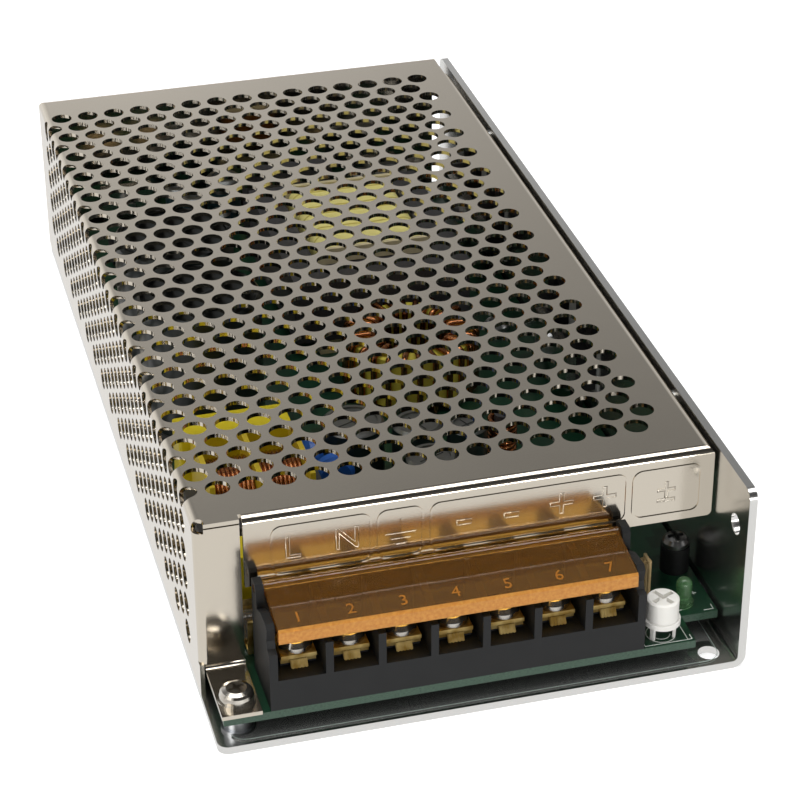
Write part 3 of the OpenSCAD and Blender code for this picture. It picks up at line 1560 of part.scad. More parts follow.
tray();
cover();
cover_screws();
insulation_sheet();
circuit_board();
standoffs();
foot_screw();
board_screws();
raised_screw();
raised_screw_bush();
terminal_block();
terminal_plates();
clamp_1();
clamp_2();
clamp_3();
clamp_4();
clamp_5();
clamp_6();
clamp_7();
terminal_screw_1();
terminal_screw_2();
terminal_screw_3();
terminal_screw_4();
terminal_screw_5();
terminal_screw_6();
terminal_screw_7();
flap();
adjuster_base();
adjuster_knob();
pilot_lamp();
fuse();
fuse_clips();
thermistor();
choke_bobbin();
choke_core();
choke_coils();
film_capacitors();
disc_capacitors();
bridge_rectifier();
bulk_capacitors();
transformer_core();
transformer_bobbin();
transformer_coil();
driver_core();
driver_bobbin();
driver_coil();
control_chip();
output_choke_core();
output_choke_coil();
output_capacitors();
rod_choke_core();
rod_choke_coil();
power_devices();
device_pads();
device_bars();
bar_screws();
small_capacitors();
resistors();
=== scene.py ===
import math

import bmesh
import bpy
from mathutils import Matrix, Vector


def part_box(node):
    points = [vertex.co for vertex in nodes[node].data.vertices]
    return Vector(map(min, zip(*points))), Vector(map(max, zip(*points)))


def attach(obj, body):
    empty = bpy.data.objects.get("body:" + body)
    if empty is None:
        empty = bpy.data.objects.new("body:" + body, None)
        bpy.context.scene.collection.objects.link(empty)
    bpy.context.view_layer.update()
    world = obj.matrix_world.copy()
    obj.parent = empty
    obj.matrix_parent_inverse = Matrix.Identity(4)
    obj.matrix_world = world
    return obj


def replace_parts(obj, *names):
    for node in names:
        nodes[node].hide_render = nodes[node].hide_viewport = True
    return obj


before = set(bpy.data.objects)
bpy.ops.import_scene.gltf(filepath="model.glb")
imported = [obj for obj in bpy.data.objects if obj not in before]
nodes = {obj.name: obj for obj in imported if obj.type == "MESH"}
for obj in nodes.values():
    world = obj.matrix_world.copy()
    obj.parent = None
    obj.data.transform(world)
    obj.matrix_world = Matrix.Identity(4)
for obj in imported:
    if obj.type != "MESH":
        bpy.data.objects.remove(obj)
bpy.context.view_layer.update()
scene = bpy.context.scene
MM = 0.001


# ---- small helpers -------------------------------------------------------------

def linear(code):
    """Linear colour of an sRGB hex code."""
    parts = [int(code[i:i + 2], 16) / 255 for i in (1, 3, 5)]
    return [p / 12.92 if p <= 0.04045 else ((p + 0.055) / 1.055) ** 2.4 for p in parts] + [1.0]


def add(tree, kind, inputs=None, stops=(), **settings):
    """Adds a node to a tree, with its settings, and its inputs as values or links. A colour
    ramp also takes its stops, as (position, hex code or grey level)."""
    node = tree.nodes.new(kind)
    for name, value in settings.items():
        setattr(node, name, value)
    for key, value in (inputs or {}).items():
        if isinstance(value, bpy.types.NodeSocket):
            tree.links.new(value, node.inputs[key])
        else:
            node.inputs[key].default_value = value
    for _ in stops[2:]:
        node.color_ramp.elements.new(0.5)
    for number, (position, colour) in enumerate(stops):
        element = node.color_ramp.elements[number]
        element.position = position
        element.color = linear(colour) if isinstance(colour, str) else [colour] * 3 + [1.0]
    return node


def start_finish(name):
    """An empty material, its tree, and the place on the object in metres."""
    finish = bpy.data.materials.new(name)
    finish.use_nodes = True
    tree = finish.node_tree
    tree.nodes.clear()
    return finish, tree, add(tree, "ShaderNodeTexCoord").outputs["Object"]


def close_finish(tree, shader):
    """Ends a material's tree in its shader."""
    add(tree, "ShaderNodeOutputMaterial", {"Surface": shader.outputs[0]})


def grain(tree, place, size_mm, stretch=(1, 1, 1), detail=2.0):
    """Noise whose features are about size_mm across, drawn out along an axis by stretch."""
    scaled = add(tree, "ShaderNodeMapping", {"Vector": place, "Scale": stretch})
    return add(tree, "ShaderNodeTexNoise", {"Vector": scaled.outputs[0], "Scale": 1 / (size_mm * MM),
                                            "Detail": detail}).outputs["Fac"]


# ---- camera, light and floor ------------------------------------------------------

def place_camera():
    """Long lens, from the front left and above, leaning a little."""
    spot, turn, tilt, lean = Vector((-0.10958, -0.44758, 0.28374)), -15.029, 59.00676, -0.22525
    lens = bpy.data.cameras.new("camera")
    lens.sensor_width, lens.lens = 36, 115.4
    lens.clip_start, lens.clip_end = 0.01, 50
    camera = bpy.data.objects.new("camera", lens)
    camera.matrix_world = (Matrix.Translation(spot) @ Matrix.Rotation(math.radians(turn), 4, "Z")
                           @ Matrix.Rotation(math.radians(tilt), 4, "X")
                           @ Matrix.Rotation(math.radians(lean), 4, "Z"))
    scene.collection.objects.link(camera)
    scene.camera = camera


def light_studio():
    """Soft overhead panel, a white sweep low down all round, and a dim room above it."""
    world = bpy.data.worlds.new("studio")
    scene.world = world
    world.use_nodes = True
    tree = world.node_tree
    tree.nodes.clear()
    way = add(tree, "ShaderNodeTexCoord").outputs["Generated"]
    split = add(tree, "ShaderNodeSeparateXYZ", {"Vector": way})
    height = split.outputs["Z"]
    behind = add(tree, "ShaderNodeValToRGB", {"Fac": height}, stops=[
        (0.0, 1.0), (0.36, 0.78), (0.42, 0.58), (0.50, 0.40), (0.57, 0.24), (0.75, 0.16),
        (1.0, 0.5)]).outputs[0]
    # The sweep behind falls off to the right, where less of it is lit.
    dim = add(tree, "ShaderNodeMapRange", {"Value": split.outputs["X"], "From Min": 0.14, "From Max": 0.3,
                                           "To Min": 1.0, "To Max": 0.66}).outputs["Result"]
    behind = add(tree, "ShaderNodeVectorMath", {0: behind, 1: dim}, operation="MULTIPLY").outputs[0]
    ahead = add(tree, "ShaderNodeValToRGB", {"Fac": height}, stops=[
        (0.0, 1.0), (0.06, 0.7), (0.16, 0.12), (0.7, 0.03), (0.88, 0.06), (1.0, 0.4)]).outputs[0]
    side = add(tree, "ShaderNodeMapRange", {"Value": split.outputs["Y"], "From Min": -0.35,
                                            "From Max": 0.1}).outputs["Result"]
    mirrored = add(tree, "ShaderNodeMix", {0: side, 6: ahead, 7: behind}, data_type="RGBA").outputs[2]
    path = add(tree, "ShaderNodeLightPath")
    room = add(tree, "ShaderNodeBackground", {"Color": (1, 1, 1, 1), "Strength": 0.55})
    seen = add(tree, "ShaderNodeBackground", {"Color": mirrored, "Strength": 1.0})
    white = add(tree, "ShaderNodeBackground", {"Color": (1, 1, 1, 1), "Strength": 1.0})
    glossy = add(tree, "ShaderNodeMixShader", {0: path.outputs["Is Glossy Ray"], 1: room.outputs[0],
                                               2: seen.outputs[0]})
    direct = add(tree, "ShaderNodeMath", {0: path.outputs["Is Camera Ray"],
                                          1: path.outputs["Is Transmission Ray"]}, operation="MAXIMUM")
    both = add(tree, "ShaderNodeMixShader", {0: direct.outputs[0], 1: glossy.outputs[0],
                                             2: white.outputs[0]})
    add(tree, "ShaderNodeOutputWorld", {"Surface": both.outputs[0]})

    panels = [("overhead_panel", (0.0, -0.05, 1.1), (0, 0, 0), 1.0, 0.7, 8.0),
              ("left_panel", (-0.9, -0.5, 0.75), (0, 0, 0), 0.7, 0.7, 3.0),
              ("front_panel", (0.15, -1.1, 0.09), (0, -0.09, 0.02), 0.8, 0.1, 3.4)]
    for name, spot, aim, width, depth, power in panels:
        lamp = bpy.data.lights.new(name, "AREA")
        lamp.shape = "RECTANGLE"
        lamp.size, lamp.size_y, lamp.energy = width, depth, power
        panel = bpy.data.objects.new(name, lamp)
        panel.location = spot
        panel.rotation_euler = (Vector(spot) - Vector(aim)).to_track_quat("Z", "Y").to_euler()
        scene.collection.objects.link(panel)


def lay_floor():
    """White sweep that keeps the object's shadow."""
    finish, tree, _ = start_finish("white_paper_floor")
    path = add(tree, "ShaderNodeLightPath")
    paper = add(tree, "ShaderNodeBsdfDiffuse", {"Color": (0.8, 0.8, 0.8, 1), "Roughness": 0.5})
    glow = add(tree, "ShaderNodeEmission", {"Color": (1, 1, 1, 1), "Strength": 0.45})
    shaded = add(tree, "ShaderNodeAddShader", {0: paper.outputs[0], 1: glow.outputs[0]})
    white = add(tree, "ShaderNodeEmission", {"Color": (1, 1, 1, 1), "Strength": 0.88})
    first = add(tree, "ShaderNodeMath", {0: path.outputs["Is Glossy Ray"],
                                         1: path.outputs["Is Transmission Ray"]}, operation="MAXIMUM")
    seen = add(tree, "ShaderNodeMixShader", {0: path.outputs["Is Camera Ray"], 1: paper.outputs[0],
                                             2: shaded.outputs[0]})
    both = add(tree, "ShaderNodeMixShader", {0: first.outputs[0], 1: seen.outputs[0], 2: white.outputs[0]})
    close_finish(tree, both)
    mesh = bpy.data.meshes.new("floor")
    reach = 4.0
    mesh.from_pydata([(-reach, -reach, 0), (reach, -reach, 0), (reach, reach, 0), (-reach, reach, 0)], [],
                     [(0, 1, 2, 3)])
    floor = bpy.data.objects.new("floor", mesh)
    mesh.materials.append(finish)
    scene.collection.objects.link(floor)


# ---- finishes -----------------------------------------------------------------------

def nickel_plated_sheet():
    """Nickel-plated steel sheet: a warm mirror, slightly blurred by the rolled sheet under it."""
    finish, tree, place = start_finish("nickel_plated_sheet")
    # The real rolling marks are finer; they are drawn at 0.35 mm so that they show.
    ripple = grain(tree, place, 0.35, detail=3.0)
    cloud = grain(tree, place, 9.0)
    rough = add(tree, "ShaderNodeMapRange", {"Value": cloud,
                                             "To Min": 0.10, "To Max": 0.17}).outputs["Result"]
    relief = add(tree, "ShaderNodeBump", {"Height": ripple, "Distance": 0.006 * MM, "Strength": 0.5})
    shader = add(tree, "ShaderNodeBsdfPrincipled", {
        "Base Color": linear("#D9D0C1"), "Metallic": 1.0, "Roughness": rough,
        "Normal": relief.outputs[0]})
    close_finish(tree, shader)
    return finish


def mill_aluminium():
    """Rolled aluminium sheet: pale and silky, its faint lines along the rolling direction."""
    finish, tree, place = start_finish("mill_aluminium")
    lines = grain(tree, place, 0.4, (1, 0.03, 1), 3.0)
    rough = add(tree, "ShaderNodeMapRange", {"Value": lines,
                                             "To Min": 0.16, "To Max": 0.30}).outputs["Result"]
    relief = add(tree, "ShaderNodeBump", {"Height": lines, "Distance": 0.002 * MM, "Strength": 0.3})
    shader = add(tree, "ShaderNodeBsdfPrincipled", {
        "Base Color": linear("#E2E1DE"), "Metallic": 1.0, "Roughness": rough,
        "Normal": relief.outputs[0]})
    close_finish(tree, shader)
    return finish


def plated_steel(name, colour, roughness, tarnish):
    """Plated turned steel: bright, with fine turning marks and a little tarnish in its plating."""
    finish, tree, place = start_finish(name)
    # Real turning marks are about 0.1 mm apart; they are drawn at 0.25 mm so that they show.
    marks = grain(tree, place, 0.25)
    stain = add(tree, "ShaderNodeValToRGB", {"Fac": grain(tree, place, 2.5)},
                stops=[(0.35, tarnish), (0.65, colour)]).outputs[0]
    relief = add(tree, "ShaderNodeBump", {"Height": marks, "Distance": 0.01 * MM, "Strength": 0.5})
    shader = add(tree, "ShaderNodeBsdfPrincipled", {
        "Base Color": stain, "Metallic": 1.0, "Roughness": roughness,
        "Normal": relief.outputs[0]})
    close_finish(tree, shader)
    return finish


def polyester_film():
    """Clear polyester film lying on the base: glossy, almost colourless, a little wavy."""
    finish, tree, place = start_finish("polyester_film")
    wave = grain(tree, place, 14.0)
    relief = add(tree, "ShaderNodeBump", {"Height": wave, "Distance": 0.1 * MM, "Strength": 0.2})
    shader = add(tree, "ShaderNodeBsdfPrincipled", {
        "Base Color": linear("#C9CCC8"), "Roughness": 0.04, "IOR": 1.6,
        "Transmission Weight": 0.85, "Normal": relief.outputs[0]})
    close_finish(tree, shader)
    return finish


def soldermask_board():
    """Glass-fibre laminate under green solder mask: copper tracks show as slightly paler shapes,
    and the sawn edges show the bare pale fibre."""
    finish, tree, place = start_finish("soldermask_board")
    track_field = 6.25 * MM
    tracks = add(tree, "ShaderNodeTexVoronoi", {"Vector": place, "Scale": 1 / track_field},
                 distance="CHEBYCHEV").outputs["Distance"]
    mask = add(tree, "ShaderNodeValToRGB", {"Fac": tracks}, stops=[
        (0.0, "#0E2A1C"), (0.30, "#0F2E1F"), (0.34, "#173B28"), (1.0, "#163826")]).outputs[0]
    fibre = add(tree, "ShaderNodeValToRGB", {"Fac": grain(tree, place, 0.5, (1, 1, 6))},
                stops=[(0.3, "#1F3428"), (0.7, "#455F4E")]).outputs[0]
    normal = add(tree, "ShaderNodeNewGeometry").outputs["Normal"]
    facing = add(tree, "ShaderNodeSeparateXYZ", {"Vector": normal})
    flat = add(tree, "ShaderNodeMath", {0: facing.outputs["Z"]}, operation="ABSOLUTE")
    edge = add(tree, "ShaderNodeMath", {0: flat.outputs[0], 1: 0.5}, operation="LESS_THAN")
    colour = add(tree, "ShaderNodeMix", {0: edge.outputs[0], 6: mask, 7: fibre},
                 data_type="RGBA").outputs[2]
    relief = add(tree, "ShaderNodeBump", {"Height": tracks, "Distance": 0.05 * MM, "Strength": 0.15})
    shader = add(tree, "ShaderNodeBsdfPrincipled", {
        "Base Color": colour, "Roughness": 0.28, "IOR": 1.5,
        "Normal": relief.outputs[0]})
    close_finish(tree, shader)
    return finish


def moulded_plastic(name, colour, roughness, texture_mm=0.25, relief_mm=0.01, glow=0.0):
    """Injection-moulded thermoplastic: even colour, a fine spark-eroded skin and soft flow clouds."""
    finish, tree, place = start_finish(name)
    # The real skin's pits are about 0.05 mm; texture_mm draws them coarser so that they show.
    skin = grain(tree, place, texture_mm, detail=3.0)
    flow = grain(tree, place, 6.0)
    rough = add(tree, "ShaderNodeMapRange", {"Value": flow, "To Min": roughness - 0.05,
                                             "To Max": roughness + 0.06}).outputs["Result"]
    base = linear(colour)
    darker = [0.86 * c for c in base[:3]] + [1.0]
    shade = add(tree, "ShaderNodeMix", {0: flow, 6: darker, 7: base}, data_type="RGBA").outputs[2]
    relief = add(tree, "ShaderNodeBump", {"Height": skin, "Distance": relief_mm * MM, "Strength": 0.6})
    shader = add(tree, "ShaderNodeBsdfPrincipled", {
        "Base Color": shade, "Roughness": rough, "IOR": 1.45, "Subsurface Weight": glow,
        "Subsurface Radius": (1.0, 1.0, 1.0), "Subsurface Scale": 0.8 * MM,
        "Normal": relief.outputs[0]})
    close_finish(tree, shader)
    return finish


def amber_polycarbonate():
    """Amber polycarbonate: clear and deeply tinted, but its moulded front edge is frosted, and
    looks a paler orange."""
    finish, tree, place = start_finish("amber_polycarbonate")
    wave = grain(tree, place, 5.0)
    smooth = add(tree, "ShaderNodeBump", {"Height": wave, "Distance": 0.05 * MM, "Strength": 0.2})
    clear = add(tree, "ShaderNodeBsdfPrincipled", {
        "Base Color": linear("#CDA24C"), "Roughness": 0.05, "IOR": 1.5,
        "Transmission Weight": 1.0, "Normal": smooth.outputs[0]})
    lines = grain(tree, place, 0.7)
    orange = add(tree, "ShaderNodeValToRGB", {"Fac": lines},
                 stops=[(0.3, "#D08A3A"), (0.7, "#E6A54C")]).outputs[0]
    frosting = add(tree, "ShaderNodeBump", {"Height": lines, "Distance": 0.01 * MM, "Strength": 0.4})
    frost = add(tree, "ShaderNodeBsdfPrincipled", {
        "Base Color": orange, "Roughness": 0.35, "IOR": 1.5,
        "Normal": frosting.outputs[0]})
    normal = add(tree, "ShaderNodeNewGeometry").outputs["Normal"]
    facing = add(tree, "ShaderNodeSeparateXYZ", {"Vector": normal})
    faces_ahead = add(tree, "ShaderNodeMapRange", {
        "Value": facing.outputs["Y"], "From Min": -0.5, "From Max": -0.8, "To Max": 0.55}).outputs["Result"]
    depth = add(tree, "ShaderNodeSeparateXYZ", {"Vector": place}).outputs["Y"]
    at_edge = add(tree, "ShaderNodeMath", {0: depth, 1: -96.5 * MM}, operation="LESS_THAN").outputs[0]
    milky = add(tree, "ShaderNodeMath", {0: faces_ahead, 1: at_edge, 2: 0.07},
                operation="MULTIPLY_ADD").outputs[0]
    close_finish(tree, add(tree, "ShaderNodeMixShader", {0: milky, 1: clear.outputs[0],
                                                         2: frost.outputs[0]}))
    return finish


def tinted_epoxy(name, colour, clear, roughness):
    """Cast epoxy or glass that light goes into."""
    finish, tree, place = start_finish(name)
    cloud = grain(tree, place, 1.2)
    relief = add(tree, "ShaderNodeBump", {"Height": cloud, "Distance": 0.02 * MM, "Strength": 0.3})
    shader = add(tree, "ShaderNodeBsdfPrincipled", {
        "Base Color": linear(colour), "Roughness": roughness, "IOR": 1.5,
        "Transmission Weight": clear, "Normal": relief.outputs[0]})
    close_finish(tree, shader)
    return finish


def dipped_coat(name, colour, roughness=0.3):
    """Dipped epoxy coat: glossy and slightly lumpy where it ran and set."""
    finish, tree, place = start_finish(name)
    lumps = grain(tree, place, 1.6)
    base = linear(colour)
    shade = add(tree, "ShaderNodeMix", {0: lumps, 6: [0.8 * c for c in base[:3]] + [1.0], 7: base},
                data_type="RGBA").outputs[2]
    relief = add(tree, "ShaderNodeBump", {"Height": lumps, "Distance": 0.15 * MM, "Strength": 0.4})
    shader = add(tree, "ShaderNodeBsdfPrincipled", {
        "Base Color": shade, "Roughness": roughness, "IOR": 1.5, "Normal": relief.outputs[0]})
    close_finish(tree, shader)
    return finish


def pressed_ferrite():
    """Sintered ferrite: charcoal, matt, with a fine pressed grain."""
    finish, tree, place = start_finish("pressed_ferrite")
    # Real ferrite grain is under 0.1 mm; it is drawn at 0.3 mm so that it shows.
    speck = grain(tree, place, 0.3, detail=4.0)
    colour = add(tree, "ShaderNodeValToRGB", {"Fac": speck},
                 stops=[(0.35, "#2A2A2C"), (0.7, "#3E3D3F")]).outputs[0]
    relief = add(tree, "ShaderNodeBump", {"Height": speck, "Distance": 0.03 * MM, "Strength": 0.6})
    shader = add(tree, "ShaderNodeBsdfPrincipled", {
        "Base Color": colour, "Roughness": 0.55, "IOR": 1.6, "Normal": relief.outputs[0]})
    close_finish(tree, shader)
    return finish


def enamelled_copper():
    """Enamelled copper wire: coppery metal under a thin amber varnish."""
    finish, tree, place = start_finish("enamelled_copper")
    cloud = grain(tree, place, 1.5)
    colour = add(tree, "ShaderNodeValToRGB", {"Fac": cloud},
                 stops=[(0.3, "#8F5530"), (0.7, "#C07F4C")]).outputs[0]
    relief = add(tree, "ShaderNodeBump", {"Height": cloud, "Distance": 0.02 * MM, "Strength": 0.3})
    shader = add(tree, "ShaderNodeBsdfPrincipled", {
        "Base Color": colour, "Metallic": 1.0, "Roughness": 0.24, "Coat Weight": 0.4,
        "Coat Roughness": 0.1, "Normal": relief.outputs[0]})
    close_finish(tree, shader)
    return finish


def sleeved_can(name, colour, top_z, lid="#8F918F"):
    """Aluminium capacitor can in a shrunk sleeve: glossy dark sides, and a bare lid above top_z."""
    finish, tree, place = start_finish(name)
    height = add(tree, "ShaderNodeSeparateXYZ", {"Vector": place}).outputs["Z"]
    bare = add(tree, "ShaderNodeMath", {0: height, 1: top_z}, operation="GREATER_THAN").outputs[0]
    cloud = grain(tree, place, 3.0)
    relief = add(tree, "ShaderNodeBump", {"Height": cloud, "Distance": 0.05 * MM, "Strength": 0.3})
    sleeve = add(tree, "ShaderNodeBsdfPrincipled", {
        "Base Color": linear(colour), "Roughness": 0.28, "IOR": 1.55,
        "Normal": relief.outputs[0]})
    metal = add(tree, "ShaderNodeBsdfPrincipled", {
        "Base Color": linear(lid), "Metallic": 1.0, "Roughness": 0.34,
        "Normal": relief.outputs[0]})
    close_finish(tree, add(tree, "ShaderNodeMixShader", {0: bare, 1: sleeve.outputs[0],
                                                         2: metal.outputs[0]}))
    return finish


def wound_tape(name, colour, edge):
    """Polyester tape wound round a coil: satin, with the edge of each turn just showing."""
    finish, tree, place = start_finish(name)
    # A wave texture of scale 1 repeats every pi/10 metres.
    turn_pitch = 3.49 * MM
    layers = add(tree, "ShaderNodeTexWave", {
        "Vector": place, "Scale": math.pi / 10 / turn_pitch, "Distortion": 1.5},
        bands_direction="Y").outputs["Fac"]
    tint = add(tree, "ShaderNodeValToRGB", {"Fac": layers},
                 stops=[(0.0, edge), (0.12, colour), (1.0, colour)]).outputs[0]
    relief = add(tree, "ShaderNodeBump", {"Height": layers, "Distance": 0.05 * MM, "Strength": 0.4})
    shader = add(tree, "ShaderNodeBsdfPrincipled", {
        "Base Color": tint, "Roughness": 0.35, "IOR": 1.5, "Normal": relief.outputs[0]})
    close_finish(tree, shader)
    return finish


def powder_coat(name, colour):
    """Powder coat on an iron powder ring: matt with a fine orange-peel."""
    finish, tree, place = start_finish(name)
    peel = grain(tree, place, 0.5, detail=3.0)
    relief = add(tree, "ShaderNodeBump", {"Height": peel, "Distance": 0.05 * MM, "Strength": 0.5})
    shader = add(tree, "ShaderNodeBsdfPrincipled", {
        "Base Color": linear(colour), "Roughness": 0.5, "IOR": 1.5, "Normal": relief.outputs[0]})
    close_finish(tree, shader)
    return finish


# ---- carried-over nodes ---------------------------------------------------------------

def dress_nodes():
    """Gives every carried-over node its finish."""
    board_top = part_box("circuit_board")[1].z
    bulk_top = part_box("bulk_capacitors")[1].z
    output_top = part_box("output_capacitors")[1].z
    sleeve_rim, small_sleeve_h = 0.7 * MM, 10.3 * MM
    black = moulded_plastic("black_phenolic", "#0B0C0D", 0.6)
    zinc = plated_steel("zinc_plate", "#D2D4D6", 0.28, "#B9BBBE")
    nickel = plated_steel("nickel_plate", "#D8D3CA", 0.2, "#BDB6AA")
    brass = plated_steel("brass_plate", "#E6CB86", 0.38, "#B08D48")
    cream = moulded_plastic("cream_nylon", "#D8CBA4", 0.45)
    white = moulded_plastic("white_acetal", "#ECEAE4", 0.35, relief_mm=0.004, glow=0.5)
    ferrite = pressed_ferrite()
    copper = enamelled_copper()
    looks = {
        "tray": mill_aluminium(),
        "cover": nickel_plated_sheet(),
        "cover_screws": zinc, "standoffs": zinc, "board_screws": zinc, "bar_screws": zinc,
        "insulation_sheet": polyester_film(),
        "circuit_board": soldermask_board(),
        # The raised screw's plate is darker grey than nickel: painted shade for the dark that its nickel
        # head reflects.
        "foot_screw": nickel, "raised_screw": plated_steel("reflection_darkened_plate", "#9A9A98", 0.3, "#77777A"),
        "raised_screw_bush": black, "terminal_block": black, "bridge_rectifier": black,
        "control_chip": black, "power_devices": black,
        "terminal_plates": brass,
        "flap": amber_polycarbonate(),
        "adjuster_base": white, "adjuster_knob": white,
        "pilot_lamp": tinted_epoxy("green_lamp_epoxy", "#7DB07A", 0.75, 0.08),
        "fuse": tinted_epoxy("fuse_glass", "#E4EAE8", 0.9, 0.05),
        "fuse_clips": brass,
        "thermistor": dipped_coat("green_epoxy", "#23402B"),
        "choke_bobbin": moulded_plastic("yellow_nylon", "#D9BE2C", 0.45),
        "choke_core": ferrite, "transformer_core": ferrite, "driver_core": ferrite,
        "rod_choke_core": ferrite,
        "choke_coils": copper, "output_choke_coil": copper, "rod_choke_coil": copper,
        "film_capacitors": moulded_plastic("yellow_film_case", "#E3CE1E", 0.35),
        "disc_capacitors": dipped_coat("blue_epoxy", "#2B66C2"),
        "bulk_capacitors": sleeved_can("bulk_sleeve", "#1C2421", bulk_top - sleeve_rim, "#3A3D3C"),
        "output_capacitors": sleeved_can("output_sleeve", "#1F2B28", output_top - sleeve_rim),
        "small_capacitors": sleeved_can("small_sleeve", "#21393D", board_top + small_sleeve_h),
        "transformer_bobbin": cream, "driver_bobbin": cream,
        "transformer_coil": wound_tape("yellow_tape", "#F0E690", "#C9B84A"),
        "driver_coil": wound_tape("amber_tape", "#B5722A", "#7A4A18"),
        "output_choke_core": powder_coat("yellow_powder_coat", "#CFC348"),
        "device_pads": powder_coat("silicone_pad", "#A9ABA8"),
        "device_bars": mill_aluminium(),
        "resistors": dipped_coat("resistor_lacquer", "#C2A777", 0.45),
    }
    for number in range(1, 8):
        looks[f"clamp_{number}"] = brass
        looks[f"terminal_screw_{number}"] = nickel
    for name, node in nodes.items():
        node.data.materials.clear()
        node.data.materials.append(looks[name])
    return looks


# ---- pieces made here -------------------------------------------------------------------

def finished_piece(name, mesh, finish, body="supply"):
    """A named piece whose mesh already stands in its place, riding its body."""
    mesh.materials.clear()
    mesh.materials.append(finish)
    piece = bpy.data.objects.new(name, mesh)
    scene.collection.objects.link(piece)
    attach(piece, body)
    return piece


def settle(source, place):
    """The mesh a curve, text or modified object makes, moved to its place; the source goes."""
    bpy.context.view_layer.update()
    graph = bpy.context.evaluated_depsgraph_get()
    mesh = bpy.data.meshes.new_from_object(source.evaluated_get(graph))
    bpy.data.objects.remove(source)
    mesh.transform(place)
    mesh.update()
    return mesh


def joined(name, meshes, finish, body="supply"):
    """One piece from several meshes."""
    whole = bmesh.new()
    for mesh in meshes:
        whole.from_mesh(mesh)
    made = bpy.data.meshes.new(name)
    whole.to_mesh(made)
    whole.free()
    return finished_piece(name, made, finish, body)


def stroke(points, half_width, closed=False):
    """Round wire along points in a plane, as a loose object; points in metres."""
    line = bpy.data.curves.new("stroke", "CURVE")
    line.dimensions = "3D"
    line.bevel_depth = half_width
    line.bevel_resolution = 1
    path = line.splines.new("POLY")
    path.points.add(len(points) - 1)
    for point, spot in zip(path.points, points):
        point.co = (*spot, 1.0)
    path.use_cyclic_u = closed
    drawn = bpy.data.objects.new("stroke", line)
    scene.collection.objects.link(drawn)
    return drawn


def letter(words, size, half_width=0.0):
    """Loose centred text: outlined by a fine wire if half_width is given, else solid."""
    text = bpy.data.curves.new("letter", "FONT")
    text.body = words
    text.size = size
    text.align_x, text.align_y = "CENTER", "CENTER"
    text.resolution_u = 3
    if half_width:
        text.fill_mode = "NONE"
        text.bevel_depth = half_width
        text.bevel_resolution = 1
    else:
        text.extrude = 0.02 * MM
    drawn = bpy.data.objects.new("letter", text)
    scene.collection.objects.link(drawn)
    return drawn


def lathe(profile, sides=48):
    """Solid of revolution about Z from (radius, height) points running up the outside."""
    shape = bmesh.new()
    rings = []
    for radius, height in profile:
        if radius < 1e-7:
            rings.append([shape.verts.new((0, 0, height))])
            continue
        rings.append([shape.verts.new((radius * math.cos(2 * math.pi * i / sides),
                                       radius * math.sin(2 * math.pi * i / sides), height))
                      for i in range(sides)])
    for low_ring, high_ring in zip(rings, rings[1:]):
        for i in range(sides):
            j = (i + 1) % sides
            around = [low_ring[i % len(low_ring)], low_ring[j % len(low_ring)],
                      high_ring[j % len(high_ring)], high_ring[i % len(high_ring)]]
            corners = []
            for corner in around:
                if corner not in corners:
                    corners.append(corner)
            if len(corners) > 2:
                shape.faces.new(corners)
    bmesh.ops.recalc_face_normals(shape, faces=shape.faces)
    mesh = bpy.data.meshes.new("lathe")
    shape.to_mesh(mesh)
    shape.free()
    return mesh


def box_mesh(size, turn=0.0, centre=(0, 0, 0)):
    """Plain block, turned about Z, for cutters and score marks."""
    shape = bmesh.new()
    bmesh.ops.create_cube(shape, size=1.0, matrix=Matrix.Translation(centre) @ Matrix.Rotation(turn, 4, "Z")
                          @ Matrix.Diagonal((*size, 1.0)))
    mesh = bpy.data.meshes.new("block")
    shape.to_mesh(mesh)
    shape.free()
    return mesh


# ---- stamped and printed signs -------------------------------------------------------------

def earth_sign(width):
    """Strokes of the protective earth sign, in the XY plane, centred."""
    bars = [((-w * width, h * width, 0), (w * width, h * width, 0))
            for w, h in ((0.5, -0.02), (0.32, -0.22), (0.15, -0.42))]
    return bars + [((0, -0.02 * width, 0), (0, 0.5 * width, 0))]


def stamp_lip(nickel):
    """Terminal signs stamped as fine lines in the lip, one over each pair or group of terminals."""
    lip_front, proud, line = -83.8 * MM, 0.02 * MM, 0.1 * MM
    upright = Matrix.Rotation(math.radians(90), 4, "X")
    signs = []
    for words, x, z, size in (("L", -31.6, 30.3, 6.4), ("N", -21.6, 30.5, 6.4), ("-", -0.2, 31.2, 11.0),
                              ("-", 8.6, 31.2, 11.0), ("+", 18.0, 30.6, 9.0), ("+", 26.2, 30.6, 9.0),
                              ("\u00b1", 38.0, 30.2, 7.0)):
        place = Matrix.Translation((x * MM, lip_front - proud, z * MM)) @ upright
        signs.append(settle(letter(words, size * MM, line), place))
    for ends in earth_sign(5.6 * MM):
        place = Matrix.Translation((-11.9 * MM, lip_front - proud, 30.2 * MM)) @ upright
        signs.append(settle(stroke(ends, line), place))
    joined("stamped_signs", signs, nickel)


def number_flap(print_finish, slope):
    """Numerals 1 to 7 printed under the flap, one before each terminal screw."""
    inset, size, under_edge = 3.6 * MM, 3.4 * MM, 22.05 * MM
    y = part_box("flap")[0].y + inset
    z = under_edge + inset * math.tan(slope)
    numerals = []
    for way in range(1, 8):
        left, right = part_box(f"terminal_screw_{way}")
        place = Matrix.Translation(((left.x + right.x) / 2, y, z)) @ Matrix.Rotation(slope, 4, "X")
        numerals.append(settle(letter(str(way), size), place))
    joined("flap_numerals", numerals, print_finish, "flap")


